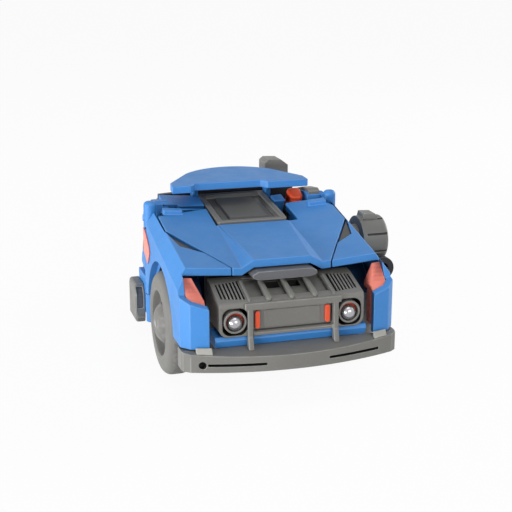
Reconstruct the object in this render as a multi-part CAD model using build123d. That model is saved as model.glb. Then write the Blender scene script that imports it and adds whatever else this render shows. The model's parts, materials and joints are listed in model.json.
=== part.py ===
from build123d import *
import os
from math import atan2, degrees, sqrt

# Folding toy car that opens into a robot.  Millimetres.  The nose points along -Y, +Z is up and
# X = 0 is the plane of symmetry.  The origin is the mouth of the stand port under the chassis,
# midway between the axles.

os.makedirs("parts", exist_ok=True)

# ---- driving sizes -------------------------------------------------------------------------
WHEELBASE = 58.0
WHEEL_R = 14.9
GROUND_CLEARANCE = 8.0          # floor to the chassis underside
FRONT_WHEEL_W = 7.5
REAR_WHEEL_W = 8.0
AXLE_R = 1.25
WELL_GAP = 1.7                  # radial room round a wheel inside its well
ARCH_GAP = 2.7                  # radial room round a wheel at the outer arch

GAP = 0.35                      # between pieces that move past each other
FIT = 0.05                      # radial clearance of a pin in the piece that turns on it
WALL = 2.0                      # moulded wall
SKIN = 2.3                      # thickness of the bonnet skin, measured straight down

POD_HALF_W = 20.2               # grille pod
FENDER_INNER_X = POD_HALF_W + 0.5
SIDE_X = 30.0                   # outer face of the front fenders
DOOR_X = 28.3                   # outer face of the doors and rear quarters
NOSE_Y = -49.5                  # front edge of the bonnet
FACE_Y = -58.7                  # front face of the grille pod
BUMPER_Y = -64.5                # front of the bumper at the middle

LIP_Z = 27.6                    # bonnet top at the split line, on the front edge
RISE_BACK = 0.183               # bonnet rise per mm towards the windscreen
RISE_OUT = 0.079                # bonnet rise per mm outwards
PLATEAU_Z = 29.4                # raised middle of the bonnet, on the front edge
PLATEAU_RISE = 0.116
SPLIT_X = 14.1                  # bonnet split line on the front edge
VENT_FRONT = (19.2, -40.0)      # corners of the triangular side vents, seen from above
VENT_OUT = (25.2, -35.8)
VENT_SINK = 0.7
VENT_BACK = (27.2, -25.6)

BONNET_BACK_Y = -9.3
BONNET_PIN_Y = -10.5
BONNET_PIN_Z = 30.4
BONNET_PIN_R = 1.0
BONNET_KNUCKLE_R = 1.8

SCREEN_HALF_W = 10.6            # windscreen frame
SCREEN_FRONT_Y = -20.9
SCREEN_BACK_Y = 5.1             # rear edge, tucked under the roof
SCREEN_FRONT_Z = 33.1
SCREEN_BACK_Z = 36.2
SCREEN_T = 1.8
SCREEN_PIN_R = 0.8
BAY_LEFT_X = 11.2               # cut-out of the bonnet round the windscreen
BAY_RIGHT_X = 13.8

POST_X = 28.2                   # upright pin that each front fender swings on
POST_Y = -8.9
POST_R = 1.9
POST_TOP_Z = 38.0
POST_FOOT_Z = 30.3              # underside of the fixed upper eye
FENDER_FOOT_Z = 9.8             # bottom of the swinging eye
PEG_R = 1.0

RAIL_INNER_X = 22.0             # cabin side rails
RAIL_OUTER_X = 25.9
CABIN_FRONT_Y = -5.8
CABIN_BACK_Y = 12.0
RAIL_TOP_Z = 36.9
RAIL_BACK_Z = 33.2              # rail top at the back of the cabin
SILL_Z = 12.0
CANTRAIL_Z = 34.0               # underside of the rail's top flange, at its front end
CANTRAIL_BACK_Z = 27.0
CABIN_TAPER = 0.096             # inward lean of doors and rails per mm towards the rear

DOOR_PIN_X = 27.2
DOOR_PIN_Y = -4.7
DOOR_PIN_R = 0.8
DOOR_KNUCKLE_R = 1.35

ROOF_FRONT_Y = -6.5
ROOF_TIP_Y = -8.6
ROOF_BACK_Y = 11.5
ROOF_NOTCH_LEFT_X = -15.5       # ends of the shallow notch in the roof's front edge
ROOF_NOTCH_RIGHT_X = 8.3
ROOF_HALF_W = RAIL_INNER_X - 0.7  # the plate spans the bay between the cabin rails
ROOF_Z = 42.0                   # roof top on its front edge
ROOF_RISE = 0.065
ROOF_T = 2.3
ROOF_PIN_Y = 9.9
ROOF_PIN_Z = 38.6
ROOF_PIN_R = 1.0

LEG_FRONT_Y = CABIN_BACK_Y + GAP
LEG_BACK_WALL = 2.1             # wall of the leg behind its wheel
LEG_DECK_Z = 33.5
TAIL_LENGTH = 9.3               # feet, from the back of the legs to the spoiler lip
TAIL_Z = 21.2
REAR_HALF_W = 26.3              # rear body at its front end
REAR_TAPER = 0.184              # and how much narrower it gets per mm
CENTRE_GAP = 0.7                # between the two rear halves
RUNNER_IN_X = 3.5
RUNNER_OUT_X = 8.0
RUNNER_Z0 = 4.0
RUNNER_Z1 = 9.0
REAR_WHEEL_IN_X = 13.5

FLOOR_T = 3.0
FLOOR_FRONT_Y = -52.6
PORT_R = 2.5                    # stand port and accessory port, for 5 mm pegs
PORT_DEPTH = 9.0
PEG_CLEAR = 0.06

# ---- places worked out from the sizes ---------------------------------------------------------
AXLE_Z = WHEEL_R - GROUND_CLEARANCE
FRONT_AXLE_Y = -WHEELBASE / 2
REAR_AXLE_Y = WHEELBASE / 2
WELL_R = WHEEL_R + WELL_GAP
ARCH_R = WHEEL_R + ARCH_GAP
WELL_WALL = 1.5                 # shell of the front wheel wells
WELL_SHELL_R = WELL_R + WELL_WALL
LEG_BACK_Y = REAR_AXLE_Y + WELL_R + LEG_BACK_WALL
RUNNER_BACK_Y = LEG_BACK_Y - 7.7
TAIL_Y = LEG_BACK_Y + TAIL_LENGTH
HUB_WALL = 1.8                  # fender wall that carries the front axle
FRONT_WHEEL_IN_X = FENDER_INNER_X + HUB_WALL + 0.3
SPLIT_GAP = GAP / 2


# ---- helpers ----------------------------------------------------------------------------------
def extrude_x(outline, x0, x1):
    """A side outline of (y, z) corners, carried from x0 to x1."""
    wire = Polyline(*[(x0, y, z) for y, z in outline], close=True)
    return extrude(make_face(wire), amount=x1 - x0, dir=(1, 0, 0))


def extrude_y(outline, y0, y1):
    """A front outline of (x, z) corners, carried from y0 to y1."""
    wire = Polyline(*[(x, y0, z) for x, z in outline], close=True)
    return extrude(make_face(wire), amount=y1 - y0, dir=(0, 1, 0))


def extrude_z(outline, z0, z1):
    """A plan outline of (x, y) corners, carried from z0 to z1."""
    wire = Polyline(*[(x, y, z0) for x, y in outline], close=True)
    return extrude(make_face(wire), amount=z1 - z0, dir=(0, 0, 1))


def block(x0, x1, y0, y1, z0, z1):
    return extrude_z([(x0, y0), (x1, y0), (x1, y1), (x0, y1)], z0, z1)


def rod(axis, start, end, radius):
    """A round bar along 'x', 'y' or 'z', from the point start to the coordinate end."""
    normal = {"x": (1, 0, 0), "y": (0, 1, 0), "z": (0, 0, 1)}[axis]
    length = end - start["xyz".index(axis)]
    return extrude(Plane(start, z_dir=normal) * Circle(radius), amount=length)


def facet(shape, p, q, r):
    """Cuts away what lies above the plane through three points."""
    normal = (Vector(*q) - Vector(*p)).cross(Vector(*r) - Vector(*p))
    if normal.Z < 0:
        normal = normal * -1
    return shape - Plane(origin=p, z_dir=normal) * Pos(0, 0, 100) * Box(400, 400, 200)


def both_sides(shape):
    return shape + mirror(shape, about=Plane.YZ)


def pair(shape):
    """The piece and its mirror image, as two separate solids of one node."""
    return Compound(children=[*shape.solids(), *mirror(shape, about=Plane.YZ).solids()])


def skin_z(x, y):
    """Height of the bonnet and fender tops."""
    return LIP_Z + RISE_OUT * (x - SPLIT_X) + RISE_BACK * (y - NOSE_Y)


def on_skin(x, y, drop=0.0):
    return (x, y, skin_z(x, y) - drop)


def skin_cut(shape, drop=0.0):
    """Trims a right-hand piece to the bonnet's top plane, or to a plane that far below it."""
    return facet(shape, on_skin(0, NOSE_Y, drop), on_skin(30, NOSE_Y, drop), on_skin(0, 0, drop))


def thin(outer, thickness):
    """The top layer of a solid, with the same thickness all over, measured straight down."""
    return outer - Pos(0, 0, -thickness) * outer


# ---- wheels -----------------------------------------------------------------------------------
def wheel(width, inner_x, axle_y):
    """One-piece moulded wheel: round-shouldered tyre, rim lip, domed hub and four windows."""
    half = width / 2
    rim_r = 0.63 * WHEEL_R
    shoulder = 0.16 * WHEEL_R
    hub_r = 0.36 * WHEEL_R
    bore_r = AXLE_R + FIT
    dish_z = half - 2.4
    disc = 1.4
    tread = [(WHEEL_R, -half + shoulder), (WHEEL_R, half - shoulder)]
    knee = 0.3 * shoulder
    section = [
        Polyline((bore_r, 0, -half), (WHEEL_R - shoulder, 0, -half)),
        ThreePointArc((WHEEL_R - shoulder, 0, -half), (WHEEL_R - knee, 0, -half + knee), (tread[0][0], 0, tread[0][1])),
        Line((tread[0][0], 0, tread[0][1]), (tread[1][0], 0, tread[1][1])),
        ThreePointArc((tread[1][0], 0, tread[1][1]), (WHEEL_R - knee, 0, half - knee), (WHEEL_R - shoulder, 0, half)),
        Polyline((WHEEL_R - shoulder, 0, half), (rim_r + 0.9, 0, half + 0.25), (rim_r, 0, half),
                 (rim_r - 0.6, 0, dish_z), (hub_r + 0.8, 0, dish_z + 0.7)),
        ThreePointArc((hub_r + 0.8, 0, dish_z + 0.7), (0.75 * hub_r, 0, half + 0.6), (bore_r, 0, half + 1.2)),
        Line((bore_r, 0, half + 1.2), (bore_r, 0, -half)),
    ]
    body = revolve(make_face(section), Axis.Z, 360)
    hollow = Cylinder(WHEEL_R - WALL, width) - Cylinder(AXLE_R + WALL, width)
    body -= Pos(0, 0, dish_z - disc - half) * hollow
    window = SlotOverall(0.58 * rim_r, 0.26 * rim_r)
    for spot in PolarLocations(0.74 * rim_r, 4):
        body -= extrude(spot * Rot(0, 0, 90) * window, amount=width)
    return Pos(inner_x + half, axle_y, AXLE_Z) * Rot(0, 90, 0) * body


# ---- nose: bumper, grille pod and what is set into them ------------------------------------------
BUMPER_BACK_Y = -57.6
BUMPER_END_X = 30.2
BUMPER_END_Y = -53.0
BUMPER_BOW_X = 28.2             # where the bowed front meets the rounded corner
BUMPER_BOW = 4.9                # how far the bow falls back over that width
BUMPER_Z0 = 3.0
BUMPER_FRONT_Z = 7.2
BUMPER_BACK_Z = 8.4
SLOT_IN_X = 8.7                 # thin slots in the bumper's front
SLOT_OUT_X = 23.8
POD_FOOT_Z = 11.4
POD_FRONT_Z = 19.6
POD_BROW_Z = 20.6
POD_BACK_Y = -45.0
POD_TOP_Y = -48.4
POD_TOP_Z = 23.5
LAMP_X = 15.9
LAMP_Z = 15.5
LAMP_R = 3.1
LAMP_WALL = 0.55
LAMP_DEPTH = 3.0                # of the bore, behind the pod's face
LENS_R = 2.1
BAR_X = 11.9
BAR_HALF_W = 0.75
RAIL_Z0 = 18.7
RAIL_Z1 = 20.5


def bow_y(x):
    """Front of the bumper at a distance from the middle."""
    radius = (BUMPER_BOW_X ** 2 + BUMPER_BOW ** 2) / (2 * BUMPER_BOW)
    return BUMPER_Y + radius - sqrt(radius ** 2 - x ** 2)


def bumper_plan(inset):
    """The bumper's outline from above, drawn in by an inset all round its front."""
    end_x = BUMPER_END_X - inset
    bow_y = BUMPER_Y + BUMPER_BOW + inset
    front = ThreePointArc((-BUMPER_BOW_X, bow_y, 0), (0, BUMPER_Y + inset, 0), (BUMPER_BOW_X, bow_y, 0))
    turn_x = end_x - 0.3
    outline = [
        front,
        Polyline((BUMPER_BOW_X, bow_y, 0), (turn_x, bow_y + 1.4, 0), (end_x, bow_y + 3.0, 0),
                 (end_x, BUMPER_END_Y, 0), (end_x - 2.6 + inset, BUMPER_END_Y, 0),
                 (end_x - 5.0 + inset, BUMPER_BACK_Y, 0), (-end_x + 5.0 - inset, BUMPER_BACK_Y, 0),
                 (-end_x + 2.6 - inset, BUMPER_END_Y, 0), (-end_x, BUMPER_END_Y, 0),
                 (-end_x, bow_y + 3.0, 0), (-turn_x, bow_y + 1.4, 0), (-BUMPER_BOW_X, bow_y, 0)),
    ]
    return make_face(outline)


def bumper_blank():
    """The bumper's solid, with its top falling away to the front."""
    body = Pos(0, 0, BUMPER_Z0) * extrude(bumper_plan(0), amount=BUMPER_BACK_Z - BUMPER_Z0)
    return facet(body, (0, BUMPER_Y, BUMPER_FRONT_Z), (1, BUMPER_Y, BUMPER_FRONT_Z), (0, BUMPER_BACK_Y, BUMPER_BACK_Z))


def bumper():
    body = bumper_blank()
    slot_z = (BUMPER_Z0 + BUMPER_FRONT_Z) / 2
    slot_depth = 1.4
    slot_h = 0.6
    band = extrude(bumper_plan(0), amount=slot_h) - extrude(bumper_plan(slot_depth), amount=slot_h)
    reach = block(SLOT_IN_X, SLOT_OUT_X, BUMPER_Y - 1, BUMPER_Y + 7, 0, slot_h)
    body -= Pos(0, 0, slot_z - slot_h / 2) * both_sides(band & reach)
    return body - rod("y", (-SLOT_OUT_X - 1.4, BUMPER_Y, slot_z), BUMPER_Y + 6, 0.95)


def bumper_tabs():
    """Two small blocks that stand on the bumper, in front of the fender feet."""
    x0, x1 = 22.6, 26.6
    back_y = -59.75
    tab = extrude_z([(x0, bow_y(x0) + 0.2), (x1, bow_y(x1) + 0.2), (x1, back_y + 1.1), (x0, back_y)], BUMPER_Z0 + 3, 9.5)
    tab = facet(tab, (x0, bow_y(x0) + 0.2, 8.2), (x1, bow_y(x1) + 0.2, 8.2), (x0, bow_y(x0) + 1.0, 9.5))
    return pair(tab - bumper_blank())


def valance():
    """Blue strip between the bumper and the grille pod."""
    top = POD_FOOT_Z
    side = [(FACE_Y + 1.1, BUMPER_BACK_Z), (FACE_Y + 0.2, top - 1.0), (FACE_Y + 0.8, top), (-50, top), (-50, BUMPER_BACK_Z)]
    half = POD_HALF_W + 1.0
    return fillet(extrude_x(side, -half, half).edges().filter_by(Axis.Z), 0.3)


def pod_block():
    side = [(FACE_Y, POD_FOOT_Z), (FACE_Y, POD_FRONT_Z), (FACE_Y + 0.6, POD_BROW_Z), (POD_TOP_Y, POD_TOP_Z),
            (POD_BACK_Y, POD_TOP_Z + 0.4), (POD_BACK_Y, POD_FOOT_Z)]
    body = extrude_x(side, -POD_HALF_W, POD_HALF_W)
    corners = ShapeList([e for e in body.edges().filter_by(Axis.Y) if abs(e.center().X) > POD_HALF_W - 0.1])
    return fillet(corners, 2.4)


def grille_pod():
    """Housing of the nose: louvred brow, recessed middle and two lamp wells."""
    body = pod_block()
    slope = (POD_TOP_Z - POD_BROW_Z) / (POD_TOP_Y - FACE_Y - 0.6)
    tilt = degrees(atan2(POD_TOP_Z - POD_BROW_Z, POD_TOP_Y - FACE_Y - 0.6))

    def brow(x, y, drop=0.0):
        return Pos(x, y, POD_BROW_Z + slope * (y - FACE_Y - 0.6) - drop) * Rot(tilt, 0, 0)

    mid_y = (FACE_Y + POD_TOP_Y) / 2 + 0.6
    for i in range(7):
        x = 12.9 + 0.98 * i
        for side in (-1, 1):
            body -= brow(side * x, mid_y + 0.3) * Box(0.46, 8.8 - 0.3 * i, 1.6)
    body -= brow(0, mid_y + 1.4) * Box(2 * BAR_X - 1.6, 9.4, 2.4)
    for side in (-1, 1):
        body -= brow(side * 2.9, mid_y + 3.2) * Box(3.6, 3.0, 9)
    half = BAR_X - BAR_HALF_W
    body -= block(-half, half, FACE_Y - 1, FACE_Y + 1.5, POD_FOOT_Z + 1.1, RAIL_Z0)
    well = Pos(LAMP_X, FACE_Y, LAMP_Z) * Rot(90, 0, 0) * extrude(RectangleRounded(6.9, 7.4, 2.2), amount=5.0, both=True)
    return body - both_sides(well)


def grille_frame():
    """Front rail with the two push bars that run down to the bumper."""
    rail = block(-13.4, 13.4, FACE_Y - 1.0, FACE_Y, RAIL_Z0, RAIL_Z1)
    bar_side = [(FACE_Y - 1.0, RAIL_Z0), (FACE_Y, RAIL_Z0), (FACE_Y, POD_FOOT_Z), (FACE_Y + 0.3, 9.6),
                (FACE_Y, BUMPER_BACK_Z), (FACE_Y - 2.2, BUMPER_BACK_Z - 0.5), (FACE_Y - 1.2, POD_FOOT_Z)]
    bar = extrude_x(bar_side, BAR_X - BAR_HALF_W, BAR_X + BAR_HALF_W)
    sill = block(-BAR_X, BAR_X, FACE_Y - 0.7, FACE_Y, POD_FOOT_Z, POD_FOOT_Z + 1.0)
    frame = rail + both_sides(bar) + sill
    return frame - bumper() - valance()


def grille_fins():
    """Three tapered fins that lie in the brow's recess and hook over the rail."""
    fins = []
    for x in (-6.4, 0, 6.4):
        plan = [(x - 0.35, FACE_Y + 0.9), (x + 0.35, FACE_Y + 0.9), (x + 0.65, FACE_Y + 2.2), (x + 0.5, POD_TOP_Y),
                (x - 0.5, POD_TOP_Y), (x - 0.65, FACE_Y + 2.2)]
        fin = extrude_z(plan, POD_BROW_Z - 1.2, POD_TOP_Z + 2)
        fin = facet(fin, (0, FACE_Y + 0.6, POD_BROW_Z + 0.35), (1, FACE_Y + 0.6, POD_BROW_Z + 0.35), (0, POD_TOP_Y, POD_TOP_Z + 0.5))
        fins.append(fin - grille_pod())
    solids = []
    for fin in fins:
        solids.append(fin.solids().sort_by(SortBy.VOLUME)[-1])
    return Compound(children=solids)


def grille_plate():
    """Centre plate of the grille, bare."""
    half = BAR_X - BAR_HALF_W - GAP / 2
    z0 = POD_FOOT_Z + 1.4
    plate = block(-half, half, FACE_Y + 0.7, FACE_Y + 1.5, z0, RAIL_Z0 - 0.3)
    panel = Pos(0, FACE_Y + 0.7, (z0 + RAIL_Z0 - 0.3) / 2) * Rot(90, 0, 0) * RectangleRounded(15.6, 4.6, 0.4)
    return plate + extrude(panel, amount=0.25)


def grille_lamps():
    """Upright orange bars at the ends of the grille plate."""
    bar = Pos(9.8, FACE_Y + 0.7, (POD_FOOT_Z + 1.4 + RAIL_Z0 - 0.3) / 2) * Rot(90, 0, 0)
    return pair(extrude(bar * SlotOverall(4.9, 1.3, rotation=90), amount=0.9))


def lamp_axis():
    return Plane((LAMP_X, FACE_Y, LAMP_Z), z_dir=(0, -1, 0))


def headlight_rings():
    """Round bezels; each stands in its well and carries the reflector and the lens."""
    outer = extrude(lamp_axis() * Circle(LAMP_R), amount=-5.0) + extrude(lamp_axis() * Circle(LAMP_R), amount=0.4)
    bore = extrude(lamp_axis() * Circle(LAMP_R - LAMP_WALL), amount=-LAMP_DEPTH) + extrude(lamp_axis() * Circle(LAMP_R - LAMP_WALL), amount=1)
    return pair(outer - bore)


def lens_ball(radius):
    drop = LAMP_R - LAMP_WALL - LENS_R - FIT
    return Pos(LAMP_X, FACE_Y + LAMP_DEPTH - LENS_R - FIT, LAMP_Z - drop) * Sphere(radius)


def headlight_reflectors():
    """Orange back of each lamp, open for the lens ball."""
    disc = extrude(Plane((LAMP_X, FACE_Y + LAMP_DEPTH, LAMP_Z), z_dir=(0, -1, 0)) * Circle(LAMP_R - LAMP_WALL), amount=1.7)
    return pair(disc - lens_ball(LENS_R))


def headlight_lenses():
    """Silver ball lens seated low in each lamp."""
    return pair(lens_ball(LENS_R))


def air_scoop():
    """Rounded intake under the bonnet's arched lip; it stands on the pod."""
    outline = [(-7.2, 24.2), (7.2, 24.2), (10.2, 25.3), (7.4, 26.7), (-7.4, 26.7), (-10.2, 25.3)]
    body = extrude_y(outline, -52.2, POD_TOP_Y + 1.6)
    body = fillet(body.edges().filter_by(Axis.Y), 0.7)
    foot = extrude_y([(-6, POD_TOP_Z + 0.2), (6, POD_TOP_Z + 0.2), (6, 24.8), (-6, 24.8)], POD_TOP_Y + 0.2, POD_BACK_Y)
    return body + (foot - pod_block())


# ---- chassis ------------------------------------------------------------------------------------
TOWER_IN_X = 18.2
TOWER_OUT_X = 20.3
EAR_IN_X = 7.0                  # roof hinge ears on the rear bulkhead
EAR_OUT_X = 9.6
BULKHEAD_Y = 8.4
BULKHEAD_TOP_Z = 36.4
NECK_Y = 3.6
NECK_Z = 23.4
NECK_R = 1.0
ELBOW_Y = 4.4
ELBOW_RIGHT_Z = 23.0
ELBOW_LEFT_Z = 17.6             # the left arm folds lower, under the cowl cover
ELBOW_R = 1.0
ARM_IN_X = 16.2
ARM_OUT_X = 21.6
INTAKE_X = 31.4
COWL_FRONT_Y = -8.3
COWL_BACK_Y = -2.4
COWL_T = 1.6
BONNET_SWEEP_R = 5.8            # room for the bonnet's rear edge as it swings
TAB_IN_X = 19.6                 # tabs on the bonnet's rear corners, which need more room
TAB_SWEEP_R = 6.9
SCREW_R = 1.6
SCREW_SPOTS = [(-14.0, -50.0), (14.0, -50.0), (-16.5, -8.0), (16.5, -8.0), (-16.5, 6.0), (16.5, 6.0)]


def post_side(pin_y, pin_z, foot):
    """Side outline of a post that stands on the floor and rounds off above its pin."""
    return [(pin_y - foot, FLOOR_T), (pin_y - 1.6, pin_z), (pin_y - 1.1, pin_z + 1.2), (pin_y + 1.1, pin_z + 1.2),
            (pin_y + 1.6, pin_z), (pin_y + foot, FLOOR_T)]


def elbow_post(pin_z):
    """Post and peg that a forearm swings on."""
    post = extrude_x(post_side(ELBOW_Y, pin_z, 1.9), 12.2, ARM_IN_X - GAP)
    return post + rod("x", (12.2, ELBOW_Y, pin_z), ARM_IN_X + 3.2, ELBOW_R)


def chassis():
    """Lower tub: floor, chest block, bonnet towers, rear bulkhead, neck and elbow posts, leg runners."""
    half = FENDER_INNER_X - GAP
    floor = extrude_z([(-half, FLOOR_FRONT_Y), (half, FLOOR_FRONT_Y), (half, -13.0), (RAIL_INNER_X, -6.0),
                       (RAIL_INNER_X, CABIN_BACK_Y), (-RAIL_INNER_X, CABIN_BACK_Y),
                       (-RAIL_INNER_X, -6.0), (-half, -13.0)], 0, FLOOR_T)
    nose = block(-half + 1, half - 1, BUMPER_BACK_Y, -50, FLOOR_T, BUMPER_BACK_Z)
    chest_side = [(-50, FLOOR_T), (-50, POD_FOOT_Z), (POD_BACK_Y, POD_FOOT_Z), (POD_BACK_Y, 20), (-40, 23.5),
                  (-16, 25.5), (-13, 22), (-13, FLOOR_T)]
    chest = extrude_x(chest_side, -13, 13)
    chest += block(-half + 1, half - 1, -50, POD_BACK_Y + 2, FLOOR_T, POD_FOOT_Z)
    tower = extrude_x(post_side(BONNET_PIN_Y, BONNET_PIN_Z, 3.0), TOWER_IN_X, TOWER_OUT_X)
    tower -= rod("x", (TOWER_IN_X - 1, BONNET_PIN_Y, BONNET_PIN_Z), TOWER_OUT_X + 1, BONNET_PIN_R)
    bulkhead = block(-RAIL_INNER_X, RAIL_INNER_X, BULKHEAD_Y, CABIN_BACK_Y, FLOOR_T, 34)
    bulkhead -= extrude_y([(-12.5, 10), (12.5, 10), (9.5, 30), (-9.5, 30)], BULKHEAD_Y - 1, BULKHEAD_Y + WALL)
    bulkhead += extrude_y([(-RAIL_INNER_X, 33), (RAIL_INNER_X, 33), (RAIL_INNER_X, BULKHEAD_TOP_Z - 0.5),
                           (13.5, BULKHEAD_TOP_Z), (-13.5, BULKHEAD_TOP_Z), (-RAIL_INNER_X, BULKHEAD_TOP_Z - 0.5)],
                          BULKHEAD_Y, BULKHEAD_Y + WALL)
    ear_side = [(BULKHEAD_Y, 30), (ROOF_PIN_Y - 1.6, ROOF_PIN_Z), (ROOF_PIN_Y - 1.1, ROOF_PIN_Z + 1.2),
                (ROOF_PIN_Y + 1.1, ROOF_PIN_Z + 1.2), (ROOF_PIN_Y + 1.6, ROOF_PIN_Z), (CABIN_BACK_Y, 30)]
    ear = extrude_x(ear_side, EAR_IN_X, EAR_OUT_X)
    ear -= rod("x", (EAR_IN_X - 1, ROOF_PIN_Y, ROOF_PIN_Z), EAR_OUT_X + 1, ROOF_PIN_R)
    runner = block(RUNNER_IN_X, RUNNER_OUT_X, CABIN_BACK_Y - 0.5, RUNNER_BACK_Y, RUNNER_Z0, RUNNER_Z1)
    neck_post = extrude_x(post_side(NECK_Y, NECK_Z, 1.9), 4.0, 6.2)
    neck_post -= rod("x", (3, NECK_Y, NECK_Z), 7, NECK_R + FIT)
    body = floor + nose + chest + bulkhead
    body += both_sides(tower + ear + runner + neck_post)
    body += elbow_post(ELBOW_RIGHT_Z) + mirrored(elbow_post(ELBOW_LEFT_Z))
    body += Pos(0, 0, PORT_DEPTH / 2 + 0.8) * Cylinder(PORT_R + WALL, PORT_DEPTH + 1.6)
    body -= Pos(0, 0, PORT_DEPTH / 2) * Cylinder(PORT_R, PORT_DEPTH)
    for x, y in SCREW_SPOTS:
        body -= Pos(x, y, 0.9) * Cylinder(SCREW_R + 0.2, 1.8)
    return body


def chassis_screws():
    """Cross-head screws sunk in the floor."""
    screws = []
    for x, y in SCREW_SPOTS:
        head = Pos(x, y, 1.8 - 0.6) * Cylinder(SCREW_R, 1.2)
        cross = Pos(x, y, 0.7) * (Box(1.9, 0.45, 0.8) + Box(0.45, 1.9, 0.8))
        screws.append((head - cross).solids()[0])
    return Compound(children=screws)


def side_intake():
    """Grey intake with a dark hollow mouth and a thick foot, low on the sill."""
    side = [(2.6, -3.2), (2.0, -1.6), (2.0, 5.8), (4.2, 9.0), (12.3, 9.0), (13.5, 7.6), (13.5, -3.2)]
    body = extrude_x(side, DOOR_X, INTAKE_X)
    long_edges = ShapeList([e for e in body.edges().filter_by(GeomType.LINE) if abs(e.center().X - INTAKE_X) < 0.01])
    body = fillet(long_edges, 0.9)
    mouth = extrude_x([(2.9, 1.6), (2.9, 5.6), (4.8, 7.9), (9.0, 7.9), (9.0, 1.6)], DOOR_X + 0.7, INTAKE_X - 0.7)
    return body - Pos(0, -1.4, 0) * mouth


def cantrail_z(y):
    """Underside of the flange over the door, which falls towards the rear."""
    fall = (CANTRAIL_Z - CANTRAIL_BACK_Z) / (CABIN_BACK_Y - CABIN_FRONT_Y)
    return CANTRAIL_Z - fall * (y - CABIN_FRONT_Y)


def cabin_side_x(y, face_x):
    """Where a face of the leaning cabin side lies at a distance along the car."""
    return face_x - CABIN_TAPER * (y - DOOR_PIN_Y)


def rail_bar(outline, outer_x):
    """A side outline carried from the rail's inner face out to a leaning outer face."""
    bar = extrude_x(outline, RAIL_INNER_X, DOOR_X)
    return bar & extrude_z([(RAIL_INNER_X, CABIN_FRONT_Y), (cabin_side_x(CABIN_FRONT_Y, outer_x), CABIN_FRONT_Y),
                            (cabin_side_x(CABIN_BACK_Y, outer_x), CABIN_BACK_Y), (RAIL_INNER_X, CABIN_BACK_Y)], 0, 50)


def cowl(covered):
    """Blue cheek beside the windscreen on a foot from the sill; a cover may close the bay out to the rail."""
    x0, x1 = SCREEN_HALF_W + 0.5, 14.5
    foot = block(x0, RAIL_INNER_X, COWL_FRONT_Y + 1.4, COWL_BACK_Y, FLOOR_T, FLOOR_T + 2.0)
    cheek = skin_cut(block(x0, x1, COWL_FRONT_Y, COWL_BACK_Y, FLOOR_T, 45))
    if covered:
        plan = [(x0, COWL_FRONT_Y), (RAIL_INNER_X + 1.5, COWL_FRONT_Y + 0.2), (RAIL_INNER_X + 1.5, 1.0), (13.4, 1.0),
                (13.0, 0.0), (x0, 0.0)]
        cheek += thin(skin_cut(extrude_z(plan, 20, 45)), COWL_T)
    swing = rod("x", (0, BONNET_PIN_Y, BONNET_PIN_Z), RAIL_INNER_X + 4, BONNET_SWEEP_R)
    swing += rod("x", (TAB_IN_X - GAP, BONNET_PIN_Y, BONNET_PIN_Z), RAIL_INNER_X + 4, TAB_SWEEP_R)
    lower = block(0, 30, COWL_FRONT_Y - 1, COWL_FRONT_Y + 1.4, 0, BONNET_PIN_Z)
    return foot + (cheek - swing - lower)


def cabin_rail(covered):
    """Side frame of the cabin: sill, pillars, flange over the door and both fixed eyes of the fender post."""
    sill = block(RAIL_INNER_X, DOOR_X, CABIN_FRONT_Y, CABIN_BACK_Y, 0, SILL_Z)
    lower_eye = rod("z", (POST_X, POST_Y, 0.8), FENDER_FOOT_Z - GAP, POST_R)
    lower_arm = extrude_z([(POST_X - 1.3, POST_Y), (POST_X - 1.3, CABIN_FRONT_Y), (DOOR_X, CABIN_FRONT_Y),
                           (POST_X + 1.6, POST_Y)], 0.8, FENDER_FOOT_Z - GAP)
    top = [(CABIN_FRONT_Y, RAIL_TOP_Z - 0.8), (CABIN_FRONT_Y + 1.4, RAIL_TOP_Z), (0.5, RAIL_TOP_Z - 0.5),
           (CABIN_BACK_Y, RAIL_BACK_Z)]
    frame = rail_bar([(CABIN_FRONT_Y, SILL_Z)] + top + [(CABIN_BACK_Y, SILL_Z)], RAIL_OUTER_X - GAP)
    frame -= extrude_x([(-2.4, SILL_Z + 2.4), (-2.4, cantrail_z(-2.4) - 0.8), (7.6, cantrail_z(7.6) - 0.8),
                        (7.6, SILL_Z + 2.4)], RAIL_INNER_X - 1, DOOR_X)
    flange = rail_bar([(CABIN_FRONT_Y, CANTRAIL_Z)] + top + [(CABIN_BACK_Y, CANTRAIL_BACK_Z)], DOOR_X)
    side_top = facet(frame + flange, (27.4, -4.4, RAIL_TOP_Z), (23.8, CABIN_BACK_Y, RAIL_BACK_Z),
                     (26.4, CABIN_BACK_Y, CANTRAIL_BACK_Z + 2.3))
    upper_arm = extrude_z([(POST_X - 1.3, POST_Y), (POST_X - 1.3, CABIN_FRONT_Y), (DOOR_X, CABIN_FRONT_Y),
                           (POST_X + 1.6, POST_Y)], CANTRAIL_Z + 0.4, 36.4)
    post = rod("z", (POST_X, POST_Y, POST_FOOT_Z), POST_TOP_Z, POST_R)
    post = fillet(post.edges().group_by(Axis.Z)[-1], 1.2)
    upper_peg = rod("z", (POST_X, POST_Y, POST_FOOT_Z - 4), POST_FOOT_Z, PEG_R)
    lower_peg = rod("z", (POST_X, POST_Y, FENDER_FOOT_Z - GAP), FENDER_FOOT_Z + 4, PEG_R)
    door_pegs = rod("z", (DOOR_PIN_X, DOOR_PIN_Y, cantrail_z(DOOR_PIN_Y) - 3), CANTRAIL_Z, DOOR_PIN_R)
    door_pegs += rod("z", (DOOR_PIN_X, DOOR_PIN_Y, SILL_Z), SILL_Z + 3, DOOR_PIN_R)
    body = sill + lower_eye + lower_arm + side_top + upper_arm + post + upper_peg + lower_peg + door_pegs
    return body + cowl(covered)


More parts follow.
